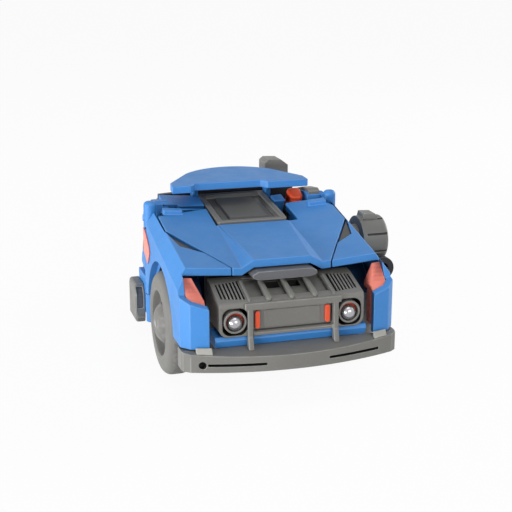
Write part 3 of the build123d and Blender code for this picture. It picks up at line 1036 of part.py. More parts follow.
def main():
    write("chassis", chassis())
    write("chassis_screws", chassis_screws())
    write("bumper", bumper())
    write("bumper_tabs", bumper_tabs())
    write("valance", valance())
    write("grille_pod", grille_pod())
    write("grille_frame", grille_frame())
    write("grille_fins", grille_fins())
    write("grille_plate", grille_plate())
    write("grille_lamps", grille_lamps())
    write("headlight_rings", headlight_rings())
    write("headlight_reflectors", headlight_reflectors())
    write("headlight_lenses", headlight_lenses())
    write("air_scoop", air_scoop())
    write("rail_strips", rail_strips())
    write("bonnet_pins", bonnet_pins())
    write("roof_pin", roof_pin())
    write_sides("side_intake", side_intake())
    write_sides("cabin_rail", cabin_rail(False), cabin_rail(True))
    write("bonnet", bonnet())
    write("windscreen_pin", windscreen_pin())
    write("windscreen_frame", windscreen_frame())
    write("windscreen_panel", windscreen_panel())
    write("roof_panel", roof_panel())
    write_sides("fender", fender(True), fender(False))
    write_sides("marker_lamps", Compound(children=[*marker_lamps()]))
    write_sides("vent_insert", vent_insert())
    write_sides("front_axle", front_axle())
    write_sides("front_wheel", wheel(FRONT_WHEEL_W, FRONT_WHEEL_IN_X, FRONT_AXLE_Y))
    write("blaster_drum", blaster_drum())
    write("blaster_barrel", blaster_barrel())
    write_sides("door", door())
    write_sides("forearm", forearm(ELBOW_RIGHT_Z), forearm(ELBOW_LEFT_Z))
    write_sides("hand", hand(ELBOW_RIGHT_Z), hand(ELBOW_LEFT_Z))
    write("head_helmet", head_helmet())
    write("head_visor", head_visor())
    write_sides("leg", leg())
    write_sides("rear_window", rear_window())
    write_sides("rear_axle", rear_axle())
    write_sides("rear_wheel", wheel(REAR_WHEEL_W, REAR_WHEEL_IN_X, REAR_AXLE_Y))
    write("deck_block", deck_block())
    write_sides("foot", foot())
    write_sides("tail_light", tail_light())


main()
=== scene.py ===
import json
import math

import bmesh
import bpy
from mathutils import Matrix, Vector
from mathutils.bvhtree import BVHTree

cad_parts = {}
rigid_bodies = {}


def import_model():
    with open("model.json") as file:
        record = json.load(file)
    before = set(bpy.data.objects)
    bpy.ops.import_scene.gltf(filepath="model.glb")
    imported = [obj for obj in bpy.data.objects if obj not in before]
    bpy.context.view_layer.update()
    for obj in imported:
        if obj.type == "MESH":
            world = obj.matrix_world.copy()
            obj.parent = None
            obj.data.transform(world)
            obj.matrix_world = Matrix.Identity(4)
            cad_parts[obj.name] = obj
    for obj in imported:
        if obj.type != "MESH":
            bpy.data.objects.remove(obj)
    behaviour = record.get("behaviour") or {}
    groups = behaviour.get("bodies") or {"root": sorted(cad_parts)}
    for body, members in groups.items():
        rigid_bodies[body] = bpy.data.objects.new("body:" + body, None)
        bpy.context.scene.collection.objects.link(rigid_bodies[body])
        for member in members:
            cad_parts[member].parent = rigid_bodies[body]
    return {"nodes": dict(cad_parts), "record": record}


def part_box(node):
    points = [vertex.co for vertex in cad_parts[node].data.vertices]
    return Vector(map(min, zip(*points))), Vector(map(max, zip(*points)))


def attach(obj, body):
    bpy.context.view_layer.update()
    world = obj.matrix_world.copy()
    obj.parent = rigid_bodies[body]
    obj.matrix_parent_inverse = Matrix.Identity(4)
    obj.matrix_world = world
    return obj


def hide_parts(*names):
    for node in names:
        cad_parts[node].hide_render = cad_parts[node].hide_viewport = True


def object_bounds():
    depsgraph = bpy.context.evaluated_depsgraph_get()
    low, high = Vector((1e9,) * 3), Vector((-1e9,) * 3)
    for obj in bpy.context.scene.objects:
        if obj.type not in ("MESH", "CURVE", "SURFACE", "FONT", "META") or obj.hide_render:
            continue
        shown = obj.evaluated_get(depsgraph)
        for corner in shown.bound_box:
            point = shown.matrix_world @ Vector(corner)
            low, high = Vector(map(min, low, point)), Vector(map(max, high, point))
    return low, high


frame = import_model()
cad_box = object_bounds()

# ---- Chassis tub --------------------------------------------------------------------------------
# The lower tub carries everything else.  It is moulded in dark ABS with its chest block, hinge
# towers, posts and leg runners in one piece, and closed from below by six screws.

MM = 0.001
WELD = 0.01 * MM
MOULD_EDGE = 0.16 * MM
SHARP_ANGLE = math.radians(28)
SLIGHT_ANGLE = math.radians(3)
SLIGHT_RISE = 0.3 * MM
LEVEL_ANGLE = math.radians(0.5)
KEPT_SHARP_ANGLE = math.radians(32)
TIGHT_REACH = 2.5
ROUNDING_TRIES = 5
PAINTED_SHADE_FACTOR = 0.07
WORN_AND_HIGHLIGHT_PALENESS = 0.35
DARK = (0.030, 0.030, 0.033)
BODY_OF = {node: body for body, nodes in frame["record"]["behaviour"]["bodies"].items() for node in nodes}


def is_crease(edge):
    """True for a real edge of the moulding, and False between the strips of one curved face."""
    if len(edge.link_faces) != 2:
        return False
    angle = edge.calc_face_angle(0.0)
    width = min(face.calc_area() for face in edge.link_faces) / max(edge.calc_length(), WELD)
    return angle > SHARP_ANGLE or (angle > SLIGHT_ANGLE and angle * width > SLIGHT_RISE)


def rounded(node, edge, tight_spots):
    """A copy of a CAD node's surface with its creases rounded, but for those that end in a tight spot."""
    work = bmesh.new()
    work.from_mesh(frame["nodes"][node].data)
    bmesh.ops.remove_doubles(work, verts=work.verts, dist=WELD)
    bmesh.ops.dissolve_limit(work, angle_limit=LEVEL_ANGLE, verts=work.verts, edges=work.edges)
    rim = work.faces.layers.float.new("rim")
    creases = []
    for crease in filter(is_crease, work.edges):
        ends = [vert.co for vert in crease.verts]
        if any((end - spot).length < TIGHT_REACH * edge for end in ends for spot in tight_spots):
            crease.smooth = False
        else:
            creases.append(crease)
    if edge and creases:
        made = bmesh.ops.bevel(work, geom=creases, offset=edge, offset_type="OFFSET", segments=2,
                               profile=0.5, affect="EDGES", clamp_overlap=False, miter_outer="SHARP")
        for face in made["faces"]:
            face[rim] = 1.0
    for face in work.faces:
        face.smooth = True
    return work


def surface_of(mesh):
    """A mesh as a surface that can be asked for its nearest spot or for what a ray meets."""
    return BVHTree.FromPolygons([v.co for v in mesh.vertices], [p.vertices for p in mesh.polygons])


def spikes(work, node, limit):
    """The corners of the triangles that stray off the true surface, where a rounding was too tight."""
    skin = surface_of(frame["nodes"][node].data)
    found = []
    for loops in work.calc_loop_triangles():
        a, b, c = (loop.vert.co for loop in loops)
        tests = ((a + b) / 2, (b + c) / 2, (a + c) / 2, (a + b + c) / 3)
        if any(skin.find_nearest(spot)[3] > limit for spot in tests):
            found += [a.copy(), b.copy(), c.copy()]
    return found


def in_scene(name, data):
    """A new object of the scene, at the origin."""
    made = bpy.data.objects.new(name, data)
    bpy.context.scene.collection.objects.link(made)
    return made


def cast(name, work, finish):
    """A worked shape as an object in its finish."""
    mesh = bpy.data.meshes.new(name)
    work.to_mesh(mesh)
    work.free()
    mesh.materials.append(finish)
    return in_scene(name, mesh)


def settled(piece):
    """The same object with what its modifiers make as its own plain mesh."""
    bpy.context.view_layer.update()
    graph = bpy.context.evaluated_depsgraph_get()
    mesh = bpy.data.meshes.new_from_object(piece.evaluated_get(graph), depsgraph=graph)
    mesh.name = piece.name
    piece.modifiers.clear()
    piece.data = mesh
    return piece


def moulded(node, finish, edge=MOULD_EDGE):
    """Stands for a CAD node: the same surface, with the mould's rounded edges and its finish."""
    tight_spots = []
    allowed = 1.2 * edge + 2 * WELD
    work = rounded(node, edge, tight_spots)
    for _ in range(ROUNDING_TRIES):
        strayed = spikes(work, node, allowed)
        if not strayed:
            break
        tight_spots += strayed
        work.free()
        work = rounded(node, edge, tight_spots)
    piece = cast(f"{node}_moulding", work, finish)
    if not edge:
        piece.data.set_sharp_from_angle(angle=KEPT_SHARP_ANGLE)
    weighted = piece.modifiers.new("face_normals", "WEIGHTED_NORMAL")
    weighted.keep_sharp = True
    weighted.weight = 100
    settled(piece)
    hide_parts(node)
    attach(piece, BODY_OF[node])
    return piece


class Wire:
    """A socket in a node tree: Python's operators on it add Math nodes, and node() adds any other."""

    def __init__(self, tree, socket=None):
        self.tree = tree
        self.socket = socket

    def node(self, kind, settings=None, inputs=None, output=0):
        """An output of a new node, once its settings are made and its inputs are set or linked."""
        made = self.tree.nodes.new(kind)
        for name, value in (settings or {}).items():
            setattr(made, name, value)
        for name, given in (inputs or {}).items():
            for value in given if isinstance(given, list) else [given]:
                if isinstance(value, Wire):
                    value.into(made.inputs[name])
                else:
                    made.inputs[name].default_value = value
        return Wire(self.tree, made.outputs[output])

    def into(self, socket):
        """Links this output to an input."""
        self.tree.links.new(self.socket, socket)

    def behind(self, socket):
        """The output that is linked to an input."""
        return Wire(self.tree, socket.links[0].from_socket)

    def maths(self, operation, first, second):
        return self.node("ShaderNodeMath", {"operation": operation}, {0: first, 1: second})

    def __add__(self, other):
        return self.maths("ADD", self, other)

    def __sub__(self, other):
        return self.maths("SUBTRACT", self, other)

    def __rsub__(self, other):
        return self.maths("SUBTRACT", other, self)

    def __mul__(self, other):
        return self.maths("MULTIPLY", self, other)

    def __truediv__(self, other):
        return self.maths("DIVIDE", self, other)

    def __pow__(self, other):
        return self.maths("POWER", self, other)

    __radd__ = __add__
    __rmul__ = __mul__

    def step(self, low, high):
        """0 below low, 1 above high and a soft rise between."""
        return self.node("ShaderNodeMapRange", {"interpolation_type": "SMOOTHSTEP"},
                         {"Value": self, "From Min": low, "From Max": high})

    def tint(self, low, high):
        """The colour between low and high that this value picks."""
        return self.node("ShaderNodeMix", {"data_type": "RGBA"}, {0: self, 6: low, 7: high}, output=2)


def shade(colour, factor):
    """A colour made lighter or darker, as a shader takes it."""
    return (*(min(1.0, part * factor) for part in colour), 1.0)


def plastic(name, colour, roughness=0.42, specular=0.25, mottle=0.05, grain=0.008, wear_and_highlight=0.12,
            smudge=0.09, ribs=None, soft=0):
    """Moulded ABS: faintly clouded pigment, spark-eroded grain, finger smudges, and edges painted
    pale, partly as worn edges and partly as a painted highlight; unlit faces get painted shade.

    grain is the depth of the texture, ribs the direction, the pitch and the depth of fine lens
    ribs, and soft the radius to which the shading rounds a finely cut piece, in millimetres."""
    material = bpy.data.materials.new(name)
    material.use_nodes = True
    shader = material.node_tree.nodes["Principled BSDF"]
    start = Wire(material.node_tree)
    place = start.node("ShaderNodeTexCoord", output="Object")
    cloud = start.node("ShaderNodeTexNoise", None, {"Vector": place, "Scale": 85.0, "Detail": 4.0})
    speck = start.node("ShaderNodeTexNoise", None, {"Vector": place, "Scale": 1500.0, "Detail": 2.0})
    touch = start.node("ShaderNodeTexNoise", None,
                       {"Vector": place, "Scale": 210.0, "Detail": 5.0, "Roughness": 0.62})
    rim = start.node("ShaderNodeAttribute", {"attribute_name": "rim"}, output="Fac")
    # Bevel strips are painted paler: partly worn edges, partly a painted highlight on rounded edges.
    worn_and_highlit = rim * (touch.step(0.42, 0.62) * 0.6 + 0.4) * wear_and_highlight
    clouded = (cloud * 0.7 + speck * 0.3).step(0.3, 0.7)
    pigment = clouded.tint(shade(colour, 1 - mottle), shade(colour, 1 + mottle))
    pale = tuple(part + (1.0 - part) * WORN_AND_HIGHLIGHT_PALENESS for part in colour) + (1.0,)
    skin = worn_and_highlit.tint(pigment, pale)
    # Faces that darken() marks are painted near black: painted shade where little light falls.
    painted_shade = start.node("ShaderNodeAttribute", {"attribute_name": "painted_shade"}, output="Fac")
    painted_shade.tint(skin, shade(colour, PAINTED_SHADE_FACTOR)).into(shader.inputs["Base Color"])
    gloss = touch.step(0.35, 0.7) * smudge + (roughness - smudge / 2) - worn_and_highlit * 0.08
    gloss.into(shader.inputs["Roughness"])
    fine = start.node("ShaderNodeTexNoise", None, {"Vector": place, "Scale": 3200.0, "Detail": 1.0})
    height = fine * 0.5 + speck
    if ribs:
        direction, pitch, depth = ribs
        wave = start.node("ShaderNodeTexWave", {"wave_type": "BANDS", "bands_direction": direction},
                          {"Vector": place, "Scale": math.tau / (20 * pitch * MM)})
        height = height + wave * (depth / grain)
    bump = start.node("ShaderNodeBump", None, {"Strength": 1.0, "Distance": grain * MM, "Height": height})
    if soft:
        edge = start.node("ShaderNodeBevel", {"samples": 8}, {"Radius": soft * MM})
        edge.into(bump.socket.node.inputs["Normal"])
    bump.into(shader.inputs["Normal"])
    shader.inputs["Specular IOR Level"].default_value = specular
    return material


dark_abs = plastic("dark_abs", DARK, roughness=0.5, wear_and_highlight=0.1)
moulded("chassis", dark_abs)

# ---- Screws -------------------------------------------------------------------------------------
# Six cross-head screws close the tub from below.  Each is a low domed steel head with a cross
# recess, driven into a counterbore of the floor.

STEEL = (0.50, 0.50, 0.52)
SCREW_FACETS = 40
RIM_SHARE = 0.6
CROSS_TURN = 0.4
steel = plastic("steel", STEEL, roughness=0.3, wear_and_highlight=0.1, mottle=0.08)
steel.node_tree.nodes["Principled BSDF"].inputs["Metallic"].default_value = 1.0


def solids_in(node):
    """The lowest and highest corners of each separate solid of a CAD node."""
    work = bmesh.new()
    work.from_mesh(frame["nodes"][node].data)
    bmesh.ops.remove_doubles(work, verts=work.verts, dist=WELD)
    boxes = []
    seen = set()
    for vert in work.verts:
        island = set()
        front = {vert} - seen
        while front:
            island |= front
            front = {edge.other_vert(v) for v in front for edge in v.link_edges} - island
        if island:
            seen |= island
            boxes.append([[pick(v.co[axis] for v in island) for axis in range(3)] for pick in (min, max)])
    work.free()
    return boxes


class Pattern(Wire):
    """A Geometry Nodes tree that sets one shape on every point, with named inputs for its sizes."""

    def __init__(self, name, sizes):
        super().__init__(bpy.data.node_groups.new(name, "GeometryNodeTree"))
        sockets = self.tree.interface
        sockets.new_socket("Points", in_out="INPUT", socket_type="NodeSocketGeometry")
        sockets.new_socket("Geometry", in_out="OUTPUT", socket_type="NodeSocketGeometry")
        self.ids = {}
        for label, value in sizes.items():
            size = sockets.new_socket(label, in_out="INPUT", socket_type="NodeSocketFloat")
            size.default_value = value
            self.ids[label] = size.identifier
        self.inlet = self.tree.nodes.new("NodeGroupInput")

    def given(self, label):
        """One of the tree's inputs."""
        return Wire(self.tree, self.inlet.outputs[label])

    def vector(self, **parts):
        return self.node("ShaderNodeCombineXYZ", None, parts)

    def repeat(self, shape, finish, **placing):
        """Ends the tree with the shape on every point, as one plain mesh in its finish."""
        points = self.node("GeometryNodeMeshToPoints", None, {"Mesh": self.given("Points")})
        copies = self.node("GeometryNodeInstanceOnPoints", None,
                           {"Points": points, "Instance": shape, **placing})
        plain = self.node("GeometryNodeRealizeInstances", None, {"Geometry": copies})
        coated = self.node("GeometryNodeSetMaterial", None, {"Geometry": plain, "Material": finish})
        coated.into(self.tree.nodes.new("NodeGroupOutput").inputs[0])

    def grow(self, name, points, sizes, at_points=None):
        """The tree's shapes on a mesh of points, as a plain mesh object."""
        seed = bpy.data.meshes.new(f"{name}_points")
        seed.from_pydata(points, [], [])
        for label, numbers in (at_points or {}).items():
            seed.attributes.new(label, "FLOAT", "POINT").data.foreach_set("value", numbers)
        piece = in_scene(name, seed)
        modifier = piece.modifiers.new("pattern", "NODES")
        modifier.node_group = self.tree
        for label, value in sizes.items():
            modifier[self.ids[label]] = value
        return settled(piece)


screw_boxes = solids_in("chassis_screws")
screw_low, screw_high = screw_boxes[0]
screw_radius = (screw_high[0] - screw_low[0]) / 2
screw_sizes = {"Head Radius": screw_radius, "Head Height": screw_high[2] - screw_low[2]}
screw_spots = [((low[0] + high[0]) / 2, (low[1] + high[1]) / 2, low[2]) for low, high in screw_boxes]
screws = Pattern("cross_head_screw", screw_sizes)
radius = screws.given("Head Radius")
tall = screws.given("Head Height")
rim_wall = screws.node("GeometryNodeMeshCylinder", {"fill_type": "NGON"},
                       {"Vertices": SCREW_FACETS, "Radius": radius, "Depth": tall * RIM_SHARE})
rim_wall = screws.node("GeometryNodeTransform", None, {
    "Geometry": rim_wall, "Translation": screws.vector(Z=tall * (1 - RIM_SHARE / 2))})
dome = screws.node("GeometryNodeMeshCone", {"fill_type": "NGON"}, {
    "Vertices": SCREW_FACETS, "Side Segments": 3, "Radius Top": radius, "Radius Bottom": radius * 0.8,
    "Depth": tall * (1 - RIM_SHARE)})
head = screws.node("GeometryNodeMeshBoolean", {"operation": "UNION"}, {"Mesh": [rim_wall, dome]})
arms = []
for quarter in (0.0, math.pi / 2):
    arm = screws.node("GeometryNodeMeshCube", None, {
        "Size": screws.vector(X=radius * 1.2, Y=radius * 0.28, Z=tall * 0.9)})
    arms.append(screws.node("GeometryNodeTransform", None, {
        "Geometry": arm, "Rotation": (0, 0, quarter + CROSS_TURN)}))
cross = screws.node("GeometryNodeMeshBoolean", {"operation": "UNION"}, {"Mesh": arms})
recessed = screws.node("GeometryNodeMeshBoolean", {"operation": "DIFFERENCE"},
                       {"Mesh 1": head, "Mesh 2": cross})
screws.repeat(recessed, steel)
screw_heads = screws.grow("floor_screws", screw_spots, screw_sizes)
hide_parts("chassis_screws")
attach(screw_heads, "chassis")

# ---- Bumper, its corner tabs and the strip above it ---------------------------------------------
# The bowed bumper is one grey moulding with slots in its face.  Two pale tabs sit on its corners,
# and a blue strip closes the gap between bumper and grille.

GREY = (0.168, 0.166, 0.156)
PALE_GREY = (0.33, 0.33, 0.30)
BLUE = (0.036, 0.205, 0.54)
BUMPER_SLOT = 2.1 * MM
OFF_FACE = 0.08 * MM
grey_abs = plastic("grey_abs", GREY, roughness=0.46, specular=0.3, wear_and_highlight=0.22)
pale_abs = plastic("pale_abs", PALE_GREY, roughness=0.5)
blue_abs = plastic("blue_abs", BLUE, roughness=0.50, specular=0.5, wear_and_highlight=0.10)


def darken(piece, hidden, depth=1.0):
    """Marks the faces of a piece that hardly any light reaches, for its material to paint dark as painted
    shade.
    """
    painted_shade = piece.data.attributes.new("painted_shade", "FLOAT", "FACE")
    for face in piece.data.polygons:
        painted_shade.data[face.index].value = depth * float(hidden(face))


def between_walls(piece, reach, *ways):
    """The test for a face in a slot: it has a wall on both sides, one of the ways, within reach."""
    walls = surface_of(piece.data)
    opposites = [(Vector(way), -Vector(way)) for way in ways]

    def hidden(face):
        spot = face.center + face.normal * OFF_FACE
        return any(all(walls.ray_cast(spot, way, reach)[0] for way in pair) for pair in opposites)

    return hidden


bumper = moulded("bumper", grey_abs, edge=0.2 * MM)
# The faces inside the slots are painted dark: painted shade.
darken(bumper, between_walls(bumper, BUMPER_SLOT, (0, 0, 1)))
moulded("bumper_tabs", pale_abs)
moulded("valance", blue_abs)

# ---- Grille pod ---------------------------------------------------------------------------------
# The pod is the folded chest, moulded in grey ABS: a louvred brow over a sunk plate, with a lamp
# well at each end.  A grey frame, one rail with two push bars, is fixed across it.

LAMP_WELL = 7.0 * MM
pod_abs = plastic("pod_abs", GREY, roughness=0.44, specular=0.3, soft=0.45)
pod = moulded("grille_pod", pod_abs, edge=0)
# The faces between the walls of each lamp well are painted dark: painted shade.
darken(pod, between_walls(pod, LAMP_WELL, (1, 0, 0)), depth=0.9)
moulded("grille_frame", grey_abs, edge=0.28 * MM)
moulded("grille_plate", grey_abs, edge=0.1 * MM)

# ---- Ribs of the brow ---------------------------------------------------------------------------
# Round-edged ribs moulded on the pod's sloping brow: slats between the louvre slots, an edge bar on
# each side of the recess, and three fins with swollen noses that run down over it to the rail.

pod_low, pod_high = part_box("grille_pod")
BROW_FRONT = (pod_low[1] + 0.6 * MM, pod_low[2] + 9.2 * MM)
BROW_BACK = (pod_high[1] - 3.4 * MM, pod_high[2] - 0.4 * MM)
BROW_TILT = math.atan2(BROW_BACK[1] - BROW_FRONT[1], BROW_BACK[0] - BROW_FRONT[0])
SLOTS_START = 12.9 * MM
SLOT_PITCH = 0.98 * MM
EDGE_BAR_X = 11.75 * MM
FIN_SPACING = 6.4 * MM
BLUNTNESS = 20.0

ribs = Pattern("brow_rib", {"Width": 0.5 * MM, "Height": 0.3 * MM, "Nose": 1.0, "Tilt": BROW_TILT})
spine = ribs.node("GeometryNodeCurvePrimitiveLine", None, {"Start": (0, 0.5, 0), "End": (0, -0.5, 0)})
spine = ribs.node("GeometryNodeResampleCurve", None, {"Curve": spine, "Count": 24})
along = ribs.node("GeometryNodeSplineParameter")
blunt = (1.0 - along ** BLUNTNESS) ** 0.5
swell = (ribs.given("Nose") - 1.0) * along + 1.0
square = ribs.node("GeometryNodeCurvePrimitiveQuadrilateral", None, {"Width": 1.0, "Height": 1.0})
section = ribs.node("GeometryNodeFilletCurve", {"mode": "POLY"},
                    {"Curve": square, "Radius": 0.3, "Count": 4})
bar = ribs.node("GeometryNodeCurveToMesh", None, {
    "Curve": spine, "Profile Curve": section, "Scale": blunt * swell * ribs.given("Width"),
    "Fill Caps": True})
bar = ribs.node("GeometryNodeTransform", None, {
    "Geometry": bar, "Scale": ribs.vector(X=1.0, Y=1.0, Z=ribs.given("Height") / ribs.given("Width"))})
bar = ribs.node("GeometryNodeSetShadeSmooth", None, {"Geometry": bar})
length = ribs.node("GeometryNodeInputNamedAttribute", {"data_type": "FLOAT"}, {"Name": "length"})
ribs.repeat(bar, grey_abs, Rotation=ribs.vector(X=ribs.given("Tilt")),
            Scale=ribs.vector(X=1.0, Y=length, Z=1.0))


def brow_rib_set(name, spots, width, height, nose=1.0):
    """Ribs on the brow; spots holds each one's place across, its front end and its length."""
    points = []
    for x, front, long in spots:
        forward = front + long / 2 * math.cos(BROW_TILT)
        points.append((x, BROW_FRONT[0] + forward, BROW_FRONT[1] + forward * math.tan(BROW_TILT)))
    sizes = {"Width": width, "Height": height, "Nose": nose, "Tilt": BROW_TILT}
    piece = ribs.grow(name, points, sizes, {"length": [long for x, front, long in spots]})
    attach(piece, "chassis")
    return piece


slats = [(side * (SLOTS_START + SLOT_PITCH * (i + 0.5)), (0.9 + 0.15 * i) * MM, (8.6 - 0.3 * i) * MM)
         for i in range(5) for side in (-1, 1)]
brow_rib_set("brow_slats", slats, 0.5 * MM, 0.62 * MM)
edge_bars = [(side * EDGE_BAR_X, -0.2 * MM, 9.6 * MM) for side in (-1, 1)]
brow_rib_set("brow_edge_bars", edge_bars, 0.9 * MM, 1.1 * MM)
fin_spots = [(step * FIN_SPACING, -0.5 * MM, 9.9 * MM) for step in (-1, 0, 1)]
fins = brow_rib_set("brow_fins", fin_spots, 1.15 * MM, 1.45 * MM, nose=1.5)
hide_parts("grille_fins")

# ---- Lamps and scoop ----------------------------------------------------------------------------
# Upright orange bars stand at the ends of the plate.  Each headlight is a grey ring, an orange
# reflector and a silvered lens in its well, and the grey scoop is plugged in behind the brow.

ORANGE = (0.72, 0.085, 0.030)
LENS_SILVER = (0.40, 0.40, 0.42)
SCOOP_GREY = (0.125, 0.127, 0.137)
orange_abs = plastic("orange_abs", ORANGE, roughness=0.34)
lens_silver = plastic("silver_lens", LENS_SILVER, roughness=0.24, wear_and_highlight=0.0, mottle=0.04, grain=0.002)
lens_silver.node_tree.nodes["Principled BSDF"].inputs["Metallic"].default_value = 0.85
scoop_abs = plastic("scoop_abs", SCOOP_GREY, roughness=0.5, specular=0.25, wear_and_highlight=0.3)
moulded("grille_lamps", orange_abs)
moulded("headlight_rings", grey_abs)
moulded("headlight_reflectors", orange_abs)
moulded("headlight_lenses", lens_silver, edge=0)
moulded("air_scoop", scoop_abs, edge=0.25 * MM)

# ---- Cabin sides --------------------------------------------------------------------------------
# Blue ABS rails stand on the chassis and hold the door's pegs and the fender's post.  A grey strip
# lies along the right-hand one, and a grey intake with a dark screen in its mouth is plugged in low
# at each side.

SCREEN_GREY = (0.095, 0.095, 0.098)
SCREEN = ((0.15, 4.9), (0.15, 8.8), (2.0, 11.0), (4.5, 11.0), (4.5, 4.9))  # mm from the intake's foot
SCREEN_SUNK = 0.75 * MM
screen_abs = plastic("screen_abs", SCREEN_GREY, roughness=0.5)


def side_plate(name, outline, inner_x, outer_x, finish, edge):
    """A plate on the side of the body, with its outline given along and up the car."""
    work = bmesh.new()
    rings = [[work.verts.new((x, y, z)) for y, z in outline] for x in (inner_x, outer_x)]
    for ring in rings:
        work.faces.new(ring)
    for i in range(len(outline)):
        work.faces.new([rings[0][i - 1], rings[0][i], rings[1][i], rings[1][i - 1]])
    bmesh.ops.recalc_face_normals(work, faces=work.faces)
    bmesh.ops.bevel(work, geom=work.edges[:], offset=edge, offset_type="OFFSET", segments=2, profile=0.5,
                    affect="EDGES", clamp_overlap=True)
    return cast(name, work, finish)


for side, outward in (("left", -1), ("right", 1)):
    moulded(f"cabin_rail_{side}", blue_abs)
    moulded(f"side_intake_{side}", grey_abs, edge=0.3 * MM)
    intake_low, intake_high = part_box(f"side_intake_{side}")
    inner, outer = sorted((abs(intake_low[0]), abs(intake_high[0])))
    screen_outline = [(intake_low[1] + y * MM, intake_low[2] + z * MM) for y, z in SCREEN]
    screen = side_plate(f"intake_screen_{side}", screen_outline, outward * (inner + SCREEN_SUNK),
                        outward * (outer - SCREEN_SUNK), screen_abs, 0.1 * MM)
    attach(screen, "chassis")
moulded("rail_strips", grey_abs)
for pin in ("bonnet_pins", "roof_pin"):
    moulded(pin, steel, edge=0)

# ---- Bonnet and windscreen ----------------------------------------------------------------------
# The bonnet's middle, of blue ABS, lifts on steel pins at its back.  The grey windscreen frame
# hangs on its own pin from two arms under the roof, with a smoked panel clipped in.

BLACK = (0.050, 0.050, 0.052)
PAINTED_PANE_SHEEN = (0.080, 0.080, 0.068, 1)
PANE_MARGIN = 2.4 * MM
UNDERSIDE = -0.4
black_abs = plastic("black_abs", BLACK, roughness=0.36)
smoked_abs = plastic("smoked_abs", BLACK, roughness=0.34, mottle=0.02, smudge=0.03, specular=0.2)
smoked = Wire(smoked_abs.node_tree)
smoked_colour = smoked_abs.node_tree.nodes["Principled BSDF"].inputs["Base Color"]
# The middle of the pane is painted paler: a painted sheen.
pane_mask = smoked.node("ShaderNodeAttribute", {"attribute_name": "pane"}, output="Fac")
painted_sheen = pane_mask.tint((0, 0, 0, 1), PAINTED_PANE_SHEEN)
plain = smoked.behind(smoked_colour)
paler = smoked.node("ShaderNodeVectorMath", {"operation": "ADD"}, {0: plain, 1: painted_sheen})
paler.into(smoked_colour)
bonnet = moulded("bonnet", blue_abs, edge=0.25 * MM)
# The bonnet's downward faces are painted dark: painted shade.
darken(bonnet, lambda face: face.normal.z < UNDERSIDE, depth=0.8)
moulded("windscreen_pin", steel, edge=0)
moulded("windscreen_frame", grey_abs)
panel = moulded("windscreen_panel", smoked_abs)
pane_low, pane_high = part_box("windscreen_panel")
pane = panel.data.attributes.new("pane", "FLOAT", "FACE")
for face in panel.data.polygons:
    within = all(pane_low[axis] + PANE_MARGIN < face.center[axis] < pane_high[axis] - PANE_MARGIN
                 for axis in (0, 1))
    pane.data[face.index].value = float(within and face.normal.z > 0.3)

# ---- Roof ---------------------------------------------------------------------------------------
# A crescent plate of blue ABS, in one piece with the arms that carry the windscreen.  It lifts on
# a steel pin at its back edge to let the head out.

moulded("roof_panel", blue_abs, edge=0.3 * MM)

# ---- Front fenders and wheels -------------------------------------------------------------------
# Each fender, of blue ABS, swings out on an upright post to become an arm guard.  Coral lamps and
# a dark vent are pressed in from behind, a coral marker is let into its side, and the one-piece
# grey wheel runs on a steel stub.

FENDER_WALL = 2.5 * MM
LIP_LENGTH = 12 * MM
CORAL = (0.72, 0.20, 0.15)
SIDE_MARKER = ((-8.8, 30.2), (-11.6, 29.4), (-16.2, 26.4), (-17.2, 24.2), (-14.2, 20.4), (-8.9, 23.0))  # mm
MARKER_SUNK = 0.1 * MM
MARKER_PROUD = 0.32 * MM
WHEEL_GREY = (0.165, 0.163, 0.155)
DUST = (0.34, 0.335, 0.32, 1)
TYRE_R = (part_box("front_wheel_left")[1][2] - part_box("front_wheel_left")[0][2]) / 2
TREAD_BAND = (0.955 * TYRE_R, 0.995 * TYRE_R)
DISH_BAND = (0.45 * TYRE_R, 0.66 * TYRE_R)
coral_abs = plastic("coral_abs", CORAL, roughness=0.3, ribs=("Z", 0.9, 0.03))


def wheel_plastic(name, wheel):
    """Wheel grey, scuffed pale and dull in a band round the tread, with dust settled in the dish."""
    material = plastic(name, WHEEL_GREY, roughness=0.55, specular=0.25)
    shader = material.node_tree.nodes["Principled BSDF"]
    start = Wire(material.node_tree)
    low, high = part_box(wheel)
    axle = (0.0, (low[1] + high[1]) / 2, (low[2] + high[2]) / 2)
    place = start.node("ShaderNodeTexCoord", output="Object")
    offset = start.node("ShaderNodeVectorMath", {"operation": "SUBTRACT"}, {0: place, 1: axle})
    flat = start.node("ShaderNodeVectorMath", {"operation": "MULTIPLY"}, {0: offset, 1: (0, 1, 1)})
    out = start.node("ShaderNodeVectorMath", {"operation": "LENGTH"}, {0: flat}, output="Value")
    scuff = start.node("ShaderNodeTexNoise", None, {"Vector": place, "Scale": 700.0, "Detail": 4.0})
    tread = out.step(*TREAD_BAND) * scuff.step(0.38, 0.62)
    dish = (1.0 - out.step(*DISH_BAND)) * scuff.step(0.45, 0.75)
    clean = start.behind(shader.inputs["Base Color"])
    (tread * 0.35 + dish * 0.4).tint(clean, DUST).into(shader.inputs["Base Color"])
    gloss = start.behind(shader.inputs["Roughness"])
    (gloss + tread * 0.15).into(shader.inputs["Roughness"])
    return material


def fender_inside(side, outward):
    """The test for a face of a fender that looks into the nose, to be painted dark as painted shade."""
    low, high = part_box(f"fender_{side}")
    skin = max(abs(low[0]), abs(high[0])) - FENDER_WALL
    lip = low[1] + LIP_LENGTH

    def hidden(face):
        inward = face.normal.x * outward < -0.5
        under = face.normal.z < UNDERSIDE
        inner_front = face.normal.y < -0.5 and face.center.y > lip
        return inward or (abs(face.center.x) < skin and (under or inner_front))

    return hidden


